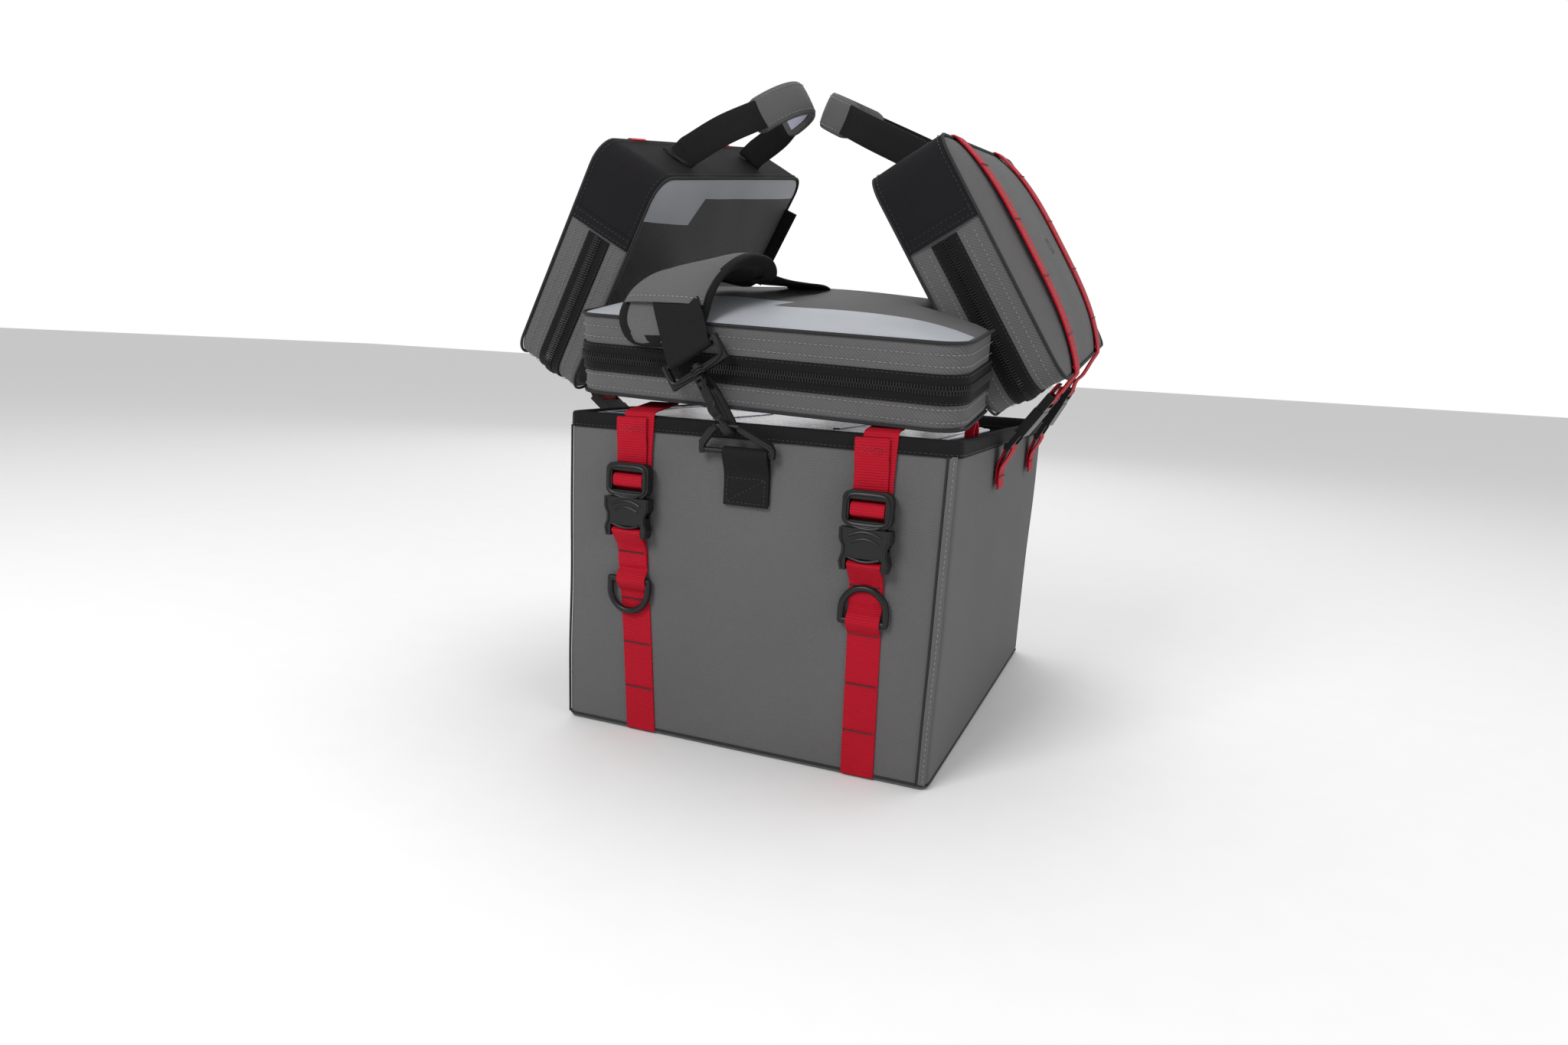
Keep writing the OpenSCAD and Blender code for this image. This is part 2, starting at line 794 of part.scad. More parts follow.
// Webbing from the plug half's bar to the case.
module link_webbing(side) {
    bar_z = 47;
    for (v = strap_v) place_link(side, v) {
        translate([0, 0, bar_z]) x_sleeve(bar_r + pin_clear, bar_r + pin_clear + web_t, web_w);
        length = link_length(side, v) - hinge_gap[side] - bar_z - bar_r;
        translate([0, 0, bar_z + bar_r + 0.5 + length / 2]) cube([web_w, web_t, length], center = true);
    }
}

module left_link_buckles() {
    color(BLACK) link_buckles(LEFT);
}

module left_link_webbing() {
    color(RED) link_webbing(LEFT);
}

module right_link_buckles() {
    color(BLACK) link_buckles(RIGHT);
}

module right_link_webbing() {
    color(RED) link_webbing(RIGHT);
}

// ---------- side cases ----------

module left_outer_shell() {
    color(GREY) place_case(LEFT) half_shell(1, outer_crown);
}

module left_inner_shell() {
    color(GREY) place_case(LEFT) half_shell(-1, inner_crown);
}

module left_spine() {
    color(SPINE) place_case(LEFT) case_spine();
}

module left_zip() {
    color(BLACK) place_case(LEFT) case_zip();
}

module left_strips() {
    color(RED) place_case(LEFT) case_strips();
}

module left_handle() {
    color(BLACK) place_case(LEFT) case_handle(LEFT);
}

module left_grip() {
    color(GREY) place_case(LEFT) case_grip(LEFT);
}

module left_slider() {
    color(BLACK) place_case(LEFT) case_slider(1);
}

module left_pull() {
    color(BLACK) place_case(LEFT) case_pull(1);
}

module right_outer_shell() {
    color(GREY) place_case(RIGHT) half_shell(1, outer_crown);
}

module right_inner_shell() {
    color(GREY) place_case(RIGHT) half_shell(-1, inner_crown);
}

module right_spine() {
    color(SPINE) place_case(RIGHT) case_spine();
}

module right_zip() {
    color(BLACK) place_case(RIGHT) case_zip();
}

module right_strips() {
    color(RED) place_case(RIGHT) case_strips();
}

module right_handle() {
    color(BLACK) place_case(RIGHT) case_handle(RIGHT);
}

module right_grip() {
    color(GREY) place_case(RIGHT) case_grip(RIGHT);
}

module right_slider() {
    color(BLACK) place_case(RIGHT) case_slider(1);
}

module right_pull() {
    color(BLACK) place_case(RIGHT) case_pull(1);
}

front_wall();
back_wall();
left_wall();
right_wall();
floor_panel();
rim_binding();
daisy_webbing_left();
daisy_webbing_right();
dring_left();
dring_right();
buckle_female_left();
buckle_female_right();
buckle_male_left();
buckle_male_right();
strap_wrap_left();
strap_wrap_right();
tether_strap_left();
tether_strap_right();
front_tab();
front_ring();
snap_hook();
hook_gate();
swivel_loop();
rear_tab();
rear_ring();
rear_snap_hook();
shoulder_webbing();
shoulder_pad();
box_trays();
box_lids();
rim_loops();
centre_top_shell();
centre_bottom_shell();
centre_spine();
centre_zip();
centre_handle();
centre_slider();
centre_pull();
left_outer_shell();
left_inner_shell();
left_spine();
left_zip();
left_strips();
left_handle();
left_grip();
left_slider();
left_pull();
left_link_buckles();
left_link_webbing();
right_outer_shell();
right_inner_shell();
right_spine();
right_zip();
right_strips();
right_handle();
right_grip();
right_slider();
right_pull();
right_link_buckles();
right_link_webbing();
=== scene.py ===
"""Looks of a soft tackle crate: its cloth, webbing, zips and fittings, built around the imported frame."""

import json
import logging
import math
from collections.abc import Iterable, Sequence
from dataclasses import dataclass, field
from enum import Enum

import bmesh
import bpy
import numpy as np
from mathutils import Matrix

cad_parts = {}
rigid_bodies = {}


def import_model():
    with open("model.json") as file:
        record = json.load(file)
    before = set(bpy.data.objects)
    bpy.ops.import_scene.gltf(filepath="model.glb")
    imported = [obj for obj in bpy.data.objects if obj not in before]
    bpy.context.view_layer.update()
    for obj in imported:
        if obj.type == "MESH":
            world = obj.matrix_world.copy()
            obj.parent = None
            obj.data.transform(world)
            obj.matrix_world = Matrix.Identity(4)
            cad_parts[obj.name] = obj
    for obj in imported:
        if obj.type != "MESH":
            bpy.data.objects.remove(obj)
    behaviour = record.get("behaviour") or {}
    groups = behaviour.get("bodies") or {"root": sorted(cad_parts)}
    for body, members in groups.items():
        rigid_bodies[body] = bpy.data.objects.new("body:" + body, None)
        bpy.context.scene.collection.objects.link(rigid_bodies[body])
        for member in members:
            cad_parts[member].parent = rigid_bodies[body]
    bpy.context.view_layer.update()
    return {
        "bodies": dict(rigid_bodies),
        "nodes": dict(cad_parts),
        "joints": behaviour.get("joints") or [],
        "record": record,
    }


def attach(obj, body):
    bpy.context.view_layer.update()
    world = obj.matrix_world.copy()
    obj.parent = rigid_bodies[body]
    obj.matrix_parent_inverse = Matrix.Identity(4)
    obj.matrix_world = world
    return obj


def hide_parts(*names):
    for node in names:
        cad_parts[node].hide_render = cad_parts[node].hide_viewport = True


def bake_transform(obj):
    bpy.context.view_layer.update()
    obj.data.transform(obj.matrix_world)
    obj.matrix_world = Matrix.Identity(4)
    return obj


Array = np.ndarray
Colour = tuple[float, float, float]
log = logging.getLogger("tackle_crate")

MM = 0.001
LAY = "lay"
PLACE = "place"
RIB_STEP = 0.48 * MM
RED_RIB = 0.1
BLACK_RIB = 0.08
BLACK_ROW = 1.6 * MM
RED_THICK = 1.5 * MM
SOFT_EDGE = 50.0
EASED_ANGLE = 38.0


class Slot(Enum):
    """The record's material slots."""

    WALL = "wall_fabric"
    CASE = "case_fabric"
    BINDING = "binding"
    RED = "red_webbing"
    BLACK = "black_webbing"
    PLASTIC = "black_plastic"
    PAD = "pad_fabric"
    CLEAR = "clear_plastic"
    SPINE = "spine_fabric"
    ZIP = "zip_tape"
    GRIP = "grip_fabric"
    METAL = "zip_metal"


class Weave(Enum):
    """How many threads a weave takes to repeat."""

    PLAIN = 2
    TWILL = 4


class Side(Enum):
    """The three zip cases, by where they stand."""

    LEFT = 0
    RIGHT = 1
    CENTRE = 2


# ---------- finishes ----------


class Graph:
    """A short way to lay out the nodes of one material."""

    def __init__(self, name: str, fixed: dict[str, object]) -> None:
        """Start a material.

        Args:
            name: The material's name.
            fixed: Values that are the same all over, by the shader's socket.
        """
        self.material = bpy.data.materials.new(name)
        self.material.use_nodes = True
        self.tree = self.material.node_tree
        self.shader = self.tree.nodes["Principled BSDF"]
        for socket, value in fixed.items():
            self.shader.inputs[socket].default_value = value

    def node(self, kind: str, inputs: dict[int | str, object], **settings: object) -> bpy.types.Node:
        """Add one node.

        Args:
            kind: The node's type without its ShaderNode prefix.
            inputs: Sockets or plain values, by the input's index or name.
            settings: The node's own properties.

        Returns:
            The new node.
        """
        made = self.tree.nodes.new("ShaderNode" + kind)
        for key, value in settings.items():
            setattr(made, key, value)
        for key, value in inputs.items():
            if isinstance(value, bpy.types.NodeSocket):
                self.tree.links.new(value, made.inputs[key])
            else:
                made.inputs[key].default_value = value
        return made

    def math(self, operation: str, *values: object) -> bpy.types.NodeSocket:
        """The result of one Math node on up to three values."""
        return self.node("Math", dict(enumerate(values)), operation=operation).outputs[0]

    def split(self, attribute: str) -> list[bpy.types.NodeSocket]:
        """The three parts of a named attribute of the mesh."""
        vector = self.node("Attribute", {}, attribute_name=attribute).outputs["Vector"]
        return list(self.node("SeparateXYZ", {0: vector}).outputs)

    def noise(self, scale: float, detail: float = 2.0, stretch: Colour = (1, 1, 1)) -> bpy.types.NodeSocket:
        """Noise in the object's own space.

        Args:
            scale: How many lumps there are to a metre.
            detail: How many finer layers it has.
            stretch: How much faster it changes along each axis.

        Returns:
            A value from 0 to 1.
        """
        place = self.node("TexCoord", {}).outputs["Object"]
        place = self.node("Mapping", {"Vector": place, "Scale": stretch}).outputs[0]
        return self.node("TexNoise", {"Vector": place, "Scale": scale, "Detail": detail}).outputs[0]

    def mix(self, share: object, low: object, high: object) -> bpy.types.NodeSocket:
        """Blend two colours.

        Args:
            share: 0 for the first and 1 for the second, as a socket or a number.
            low: The first colour.
            high: The second colour.

        Returns:
            The blended colour's socket.
        """
        colours = {6: low, 7: high}
        for key, value in colours.items():
            if not isinstance(value, bpy.types.NodeSocket):
                colours[key] = (*value, 1.0)
        return self.node("Mix", {0: share, **colours}, data_type="RGBA").outputs[2]

    def span(self, value: object, low: float, high: float) -> bpy.types.NodeSocket:
        """A value from 0 to 1 moved to the range from low to high."""
        return self.node("MapRange", {0: value, 3: low, 4: high}).outputs[0]

    def threads(self, count: object) -> bpy.types.NodeSocket:
        """The rounded backs of threads, by how many threads along a point is."""
        return self.math("ABSOLUTE", self.math("SINE", self.math("MULTIPLY", count, math.pi)))

    def weave(self, pitch: float, weave: Weave) -> tuple[bpy.types.NodeSocket, bpy.types.NodeSocket]:
        """Height of a woven cloth whose threads follow the lay of the mesh.

        Args:
            pitch: Distance between threads, in metres.
            weave: How the threads cross.

        Returns:
            A height from 0 in the gaps to 1 on the threads, and 1 where the lengthwise threads are on top.
        """
        along, across, _ = self.split(LAY)
        a, b = (self.math("DIVIDE", x, pitch) for x in (along, across))
        cell = self.math("ADD", self.math("FLOOR", a), self.math("FLOOR", b))
        turn = self.math("FLOORED_MODULO", cell, float(weave.value))
        over = self.math("LESS_THAN", turn, weave.value / 2)
        warp, weft = self.threads(a), self.threads(b)
        rise = self.math("SUBTRACT", warp, weft)
        return self.math("MULTIPLY_ADD", rise, over, weft), over

    def finish(self, colour: object, roughness: object, height: object, depth: float,
               strength: float) -> None:
        """Join colour, roughness and bump to the shader.

        Args:
            colour: The base colour's socket.
            roughness: The roughness socket.
            height: The bump's height, from 0 to 1.
            depth: How deep that height is, in metres.
            strength: The bump's strength, from 0 to 1.
        """
        self.tree.links.new(colour, self.shader.inputs["Base Color"])
        self.tree.links.new(roughness, self.shader.inputs["Roughness"])
        bump = self.node("Bump", {"Strength": strength, "Distance": depth, "Height": height})
        self.tree.links.new(bump.outputs[0], self.shader.inputs["Normal"])


def tinted(colour: Colour, share: float) -> Colour:
    """A colour times share, kept under 1."""
    return tuple(min(1.0, c * share) for c in colour)


@dataclass(frozen=True)
class Finish:
    """What every finish has: a name, the record's slot and a base colour."""

    name: str
    slot: Slot
    colour: Colour
    roughness: float = 0.6

    def material(self) -> bpy.types.Material:
        """The finish's material, made once."""
        if self.name not in bpy.data.materials:
            self.lay_out()
        return bpy.data.materials[self.name]

    def lay_out(self) -> None:
        """Make the material: each kind of finish has its own way."""
        raise NotImplementedError


@dataclass(frozen=True)
class CoatedArea:
    """Part of a case's face with a smooth light coating: its edges in length and height, in metres."""

    face: int
    v: tuple[float, float]
    w: tuple[float, float]
    slant: float = 0.0
    lean: float = 0.0


@dataclass(frozen=True)
class Cloth(Finish):
    """Coated polyester cloth, with smooth light areas where a panel is coated, and painted shade that darkens a
    side case's inner face towards black.
    """

    pitch: float = 0.0008
    weave: Weave = Weave.PLAIN
    relief: float = 0.00025
    sheen: float = 0.03
    gloss: float = 0.14
    coated: tuple[CoatedArea, ...] = ()
    coating: Colour = (0.375, 0.395, 0.425)
    # Share of its colour that the inner face keeps under painted shade; 1 paints none.
    inner_shade_keep: float = 1.0

    def lay_out(self) -> None:
        """Make a thread-coloured weave with fades and painted shade in the gaps, darken the inner face with
        painted shade, and paint the coated areas over it.
        """
        g = Graph(self.name, {"Sheen Weight": self.sheen, "Sheen Roughness": 0.45,
                              "Specular IOR Level": self.gloss})
        thread, warp = g.weave(self.pitch, self.weave)
        fade, fleck = g.noise(9.0, 4.0), g.noise(1400.0, 1.0)
        # Thread tops lighter and gaps darker: painted shade between the threads, on top of the weave's own
        # pattern and random tone.
        tone_and_shade = g.math("MULTIPLY_ADD", thread, 0.34, g.span(fleck, 0.0, 0.2))
        tone_and_shade = g.math("MULTIPLY_ADD", warp, 0.30, tone_and_shade)
        tone_and_shade = g.math("ADD", tone_and_shade, g.span(fade, 0.0, 0.24))
        colour = g.mix(tone_and_shade, tinted(self.colour, 0.5), tinted(self.colour, 1.5))
        rough = g.math("ADD", g.span(thread, self.roughness + 0.08, self.roughness - 0.04),
                       g.span(fleck, 0.0, 0.06))
        height = g.math("MULTIPLY_ADD", fleck, 0.25, thread)
        # Painted shade: the inner face (u below -30.2 mm) is darkened towards black to stand in for the shade
        # it lies in; its roughness drops too.
        if self.inner_shade_keep < 1.0:
            behind = g.math("LESS_THAN", g.split(PLACE)[0], -0.0302)
            colour = g.mix(g.math("MULTIPLY", behind, 1.0 - self.inner_shade_keep), colour, (0.004, 0.004, 0.006))
            rough = g.math("MULTIPLY_ADD", behind, -0.16, rough)
        if self.coated:
            mask = self.mask(g)
            film = g.mix(g.noise(26.0, 3.0), tinted(self.coating, 0.92), tinted(self.coating, 1.08))
            colour = g.mix(mask, colour, film)
            gloss = g.span(g.noise(60.0, 2.0), 0.30, 0.42)
            rough = g.math("MULTIPLY_ADD", g.math("SUBTRACT", gloss, rough), mask, rough)
            smooth = g.math("MULTIPLY_ADD", thread, 0.12, 1.0)
            height = g.math("MULTIPLY_ADD", g.math("SUBTRACT", smooth, height), mask, height)
        g.finish(colour, rough, height, self.relief, 0.7)

    def mask(self, g: Graph) -> bpy.types.NodeSocket:
        """Find the coated areas.

        Args:
            g: The material's graph.

        Returns:
            A socket that is 1 inside the coated areas and 0 outside them.
        """
        u, v, w = g.split(PLACE)
        total = 0.0
        for area in self.coated:
            along = g.math("MULTIPLY_ADD", w, area.lean, v)
            up = g.math("MULTIPLY_ADD", v, area.slant, w)
            inside = g.math("GREATER_THAN", g.math("MULTIPLY", u, float(area.face)), 0.0298)
            for value, (start, end) in ((along, area.v), (up, area.w)):
                inside = g.math("MULTIPLY", inside, g.math("GREATER_THAN", value, start))
                inside = g.math("MULTIPLY", inside, g.math("LESS_THAN", value, end))
            total = g.math("MAXIMUM", inside, total)
        return total


@dataclass(frozen=True)
class Webbing(Finish):
    """Ribbed webbing: rows of floats across it and fine ends along it."""

    row: float = 0.0019
    end: float = 0.0011
    sheen: float = 0.015

    def lay_out(self) -> None:
        """Make offset rows of short floats, with painted shade darkening the grooves between them."""
        g = Graph(self.name, {"Sheen Weight": self.sheen, "Sheen Roughness": 0.4,
                              "Specular IOR Level": 0.1})
        along, across, _ = g.split(LAY)
        rows = g.math("DIVIDE", along, self.row)
        shift = g.math("MULTIPLY", g.math("FLOOR", rows), 0.5)
        ends = g.math("ADD", g.math("DIVIDE", across, self.end), shift)
        rib, yarn = g.threads(rows), g.threads(ends)
        height = g.math("MULTIPLY_ADD", yarn, 0.45, g.math("POWER", rib, 0.6))
        fleck = g.noise(1500.0, 1.0)
        # Painted shade: the colour follows the bump's height, so the grooves are darker, with random tone on
        # top.
        tone_and_shade = g.math("ADD", g.span(height, 0.0, 0.5), g.span(fleck, 0.0, 0.2))
        tone_and_shade = g.math("ADD", tone_and_shade, g.span(g.noise(18.0, 3.0), 0.0, 0.25))
        colour = g.mix(tone_and_shade, tinted(self.colour, 0.42), tinted(self.colour, 1.2))
        rough = g.span(fleck, self.roughness - 0.06, self.roughness + 0.08)
        g.finish(colour, rough, height, 0.00035, 0.75)


@dataclass(frozen=True)
class Moulded(Finish):
    """Moulded or painted hard stuff with a fine grain and dull handling marks."""

    grain: float = 0.00004
    metallic: float = 0.0

    def lay_out(self) -> None:
        """Make a slightly mottled colour with a satin grain."""
        g = Graph(self.name, {"Metallic": self.metallic, "Specular IOR Level": 0.3})
        grain, marks = g.noise(2600.0, 1.0), g.noise(70.0, 4.0)
        colour = g.mix(marks, tinted(self.colour, 0.8), tinted(self.colour, 1.35))
        rough = g.math("ADD", g.span(marks, self.roughness - 0.1, self.roughness + 0.1),
                       g.span(grain, 0.0, 0.06))
        g.finish(colour, rough, grain, self.grain, 0.5)


@dataclass(frozen=True)
class Thread(Finish):
    """Sewing thread with its twist."""

    def lay_out(self) -> None:
        """Make a finely twisted, softly shaded thread."""
        g = Graph(self.name, {"Sheen Weight": 0.2})
        twist = g.noise(2200.0, 1.0, (1, 1, 3))
        colour = g.mix(twist, tinted(self.colour, 0.7), tinted(self.colour, 1.25))
        g.finish(colour, g.span(twist, self.roughness, self.roughness + 0.15), twist, 0.0001, 0.6)


@dataclass(frozen=True)
class Clear(Finish):
    """Clear moulded plastic with a cool tint and faint flow marks."""

    passing: float = 0.92

    def lay_out(self) -> None:
        """Make a see-through shader with a wavy surface and slightly cloudy marks."""
        fixed = {"Transmission Weight": self.passing, "IOR": 1.33, "Specular IOR Level": 0.35}
        g = Graph(self.name, fixed)
        flow = g.noise(34.0, 3.0)
        colour = g.mix(flow, self.colour, tinted(self.colour, 1.06))
        rough = g.span(g.noise(120.0, 2.0), self.roughness, self.roughness + 0.08)
        g.finish(colour, rough, flow, 0.0002, 0.15)


GREY: Colour = (0.112, 0.110, 0.113)
BLACK: Colour = (0.010, 0.0095, 0.010)
RED: Colour = (0.44, 0.006, 0.020)

WALL_CLOTH = Cloth("wall_cloth", Slot.WALL, GREY, 0.66, pitch=0.0011)
LINING = Cloth("lining_cloth", Slot.WALL, (0.018, 0.018, 0.02), 0.7, relief=0.0002)
# The side cases' inner face keeps 38% of its colour under painted shade.
SIDE_CASE_CLOTH = Cloth("side_case_cloth", Slot.CASE, GREY, 0.66, pitch=0.0007, weave=Weave.TWILL, coated=(
    CoatedArea(-1, (-0.16, 0.16), (0.081, 0.12), 0.02),
    CoatedArea(-1, (-0.2, -0.112), (0.054, 0.12), 0.06, -0.62)), inner_shade_keep=0.38)
CENTRE_CASE_CLOTH = Cloth("centre_case_cloth", Slot.CASE, GREY, 0.66, pitch=0.0007, weave=Weave.TWILL,
                          coated=(
    CoatedArea(1, (-0.16, 0.149), (-0.12, -0.066)),
    CoatedArea(1, (-0.2, 0.058), (-0.12, -0.052), 0.04, -0.9)))
SPINE_CLOTH = Cloth("spine_cloth", Slot.SPINE, (0.0140, 0.0130, 0.0145), 0.72, pitch=0.0006, relief=0.00015,
                    sheen=0.006, gloss=0.05)
PAD_CLOTH = Cloth("pad_cloth", Slot.PAD, tinted(GREY, 1.02), 0.68)
GRIP_CLOTH = Cloth("grip_cloth", Slot.GRIP, tinted(GREY, 0.95), 0.66)
GRIP_LINING = Cloth("grip_lining", Slot.GRIP, (0.40, 0.40, 0.50), 0.42, relief=0.0001)
BINDING = Webbing("binding_tape", Slot.BINDING, tinted(BLACK, 1.25), 0.72, row=0.0014, end=0.0030)
# Near-black welt cloth: the welt is real, but its dark colour is painted shade along the seams, where the cloth
# is the cases' own grey.
PAINTED_SHADE_PIPING = Cloth("piping_cloth", Slot.CASE, (0.03, 0.03, 0.032), 0.7, relief=0.0002)
RED_WEBBING = Webbing("ribbed_red", Slot.RED, RED, 0.55)
BLACK_WEBBING = Webbing("ribbed_black", Slot.BLACK, tinted(BLACK, 1.3), 0.62, row=0.0016, end=0.0022)
BLACK_PLASTIC = Moulded("moulded_black", Slot.PLASTIC, tinted(BLACK, 0.95), 0.36)
ZIP_TAPE = Cloth("zip_tape_cloth", Slot.ZIP, tinted(BLACK, 0.85), 0.74, pitch=0.0007, relief=0.0002)
ZIP_COIL = Moulded("zip_coil", Slot.ZIP, tinted(BLACK, 1.4), 0.34)
ZIP_METAL = Moulded("zip_slider_metal", Slot.METAL, (0.03, 0.03, 0.032), 0.3, metallic=0.9)
GREY_THREAD = Thread("grey_thread", Slot.CASE, (0.26, 0.26, 0.265), 0.6)
BLACK_THREAD = Thread("black_thread", Slot.BINDING, (0.02, 0.018, 0.02), 0.6)
RED_THREAD = Thread("red_thread", Slot.RED, (0.36, 0.004, 0.02), 0.6)
TACK_THREAD = Thread("tack_thread", Slot.RED, (0.03, 0.008, 0.012), 0.6)
CLEAR_PLASTIC = Clear("box_clear", Slot.CLEAR, (0.90, 0.93, 0.98), 0.05)
CLOUDED_PLASTIC = Clear("box_clouded", Slot.CLEAR, (0.36, 0.38, 0.50), 0.2, passing=0.72)


# ---------- shapes ----------


def unit(vectors: Array) -> Array:
    """The same vectors, one long."""
    return vectors / np.maximum(np.linalg.norm(vectors, axis=-1, keepdims=True), 1e-12)


def smooth_line(rows: Sequence[Sequence[float]], step: float) -> Array:
    """Points at an even step on a smooth line through the given rows.

    Args:
        rows: Rows whose first three columns are a place; other columns follow along.
        step: Distance between the new points.

    Returns:
        The new rows.
    """
    rows = np.asarray(rows, float)
    ends = np.vstack([2 * rows[0] - rows[1], rows, 2 * rows[-1] - rows[-2]])
    t = np.linspace(0, 1, 12, endpoint=False)[:, None]
    fine = []
    for i in range(len(rows) - 1):
        a, b, c, d = ends[i:i + 4]
        curve, twist = 2 * a - 5 * b + 4 * c - d, 3 * b - a - 3 * c + d
        fine.append(0.5 * (2 * b + (c - a) * t + curve * t ** 2 + twist * t ** 3))
    return even_line(np.vstack([*fine, rows[-1:]]), step)


def even_line(rows: Array, step: float) -> Array:
    """Cut the rows' own straight runs at an even step.

    Args:
        rows: Rows whose first three columns are a place; other columns follow along.
        step: Distance between the new points.

    Returns:
        The new rows.
    """
    rows = np.asarray(rows, float)
    length = length_of(rows[:, :3])
    places = np.linspace(0, length[-1], max(2, int(round(length[-1] / step)) + 1))
    return np.column_stack([np.interp(places, length, rows[:, k]) for k in range(rows.shape[1])])


def run_of(line: Array) -> Array:
    """The direction of a line at each of its points."""
    return unit(np.gradient(line, axis=0))


def length_of(line: Array) -> Array:
    """How far along the line each point is."""
    return np.r_[0, np.cumsum(np.linalg.norm(np.diff(line, axis=0), axis=1))]


def sheet_lay(along: Array, across: Array) -> Array:
    """The lay of a sheet from how far along and across it each row and column is."""
    return np.stack(np.broadcast_arrays(along[:, None], across[None], 0.0), -1)


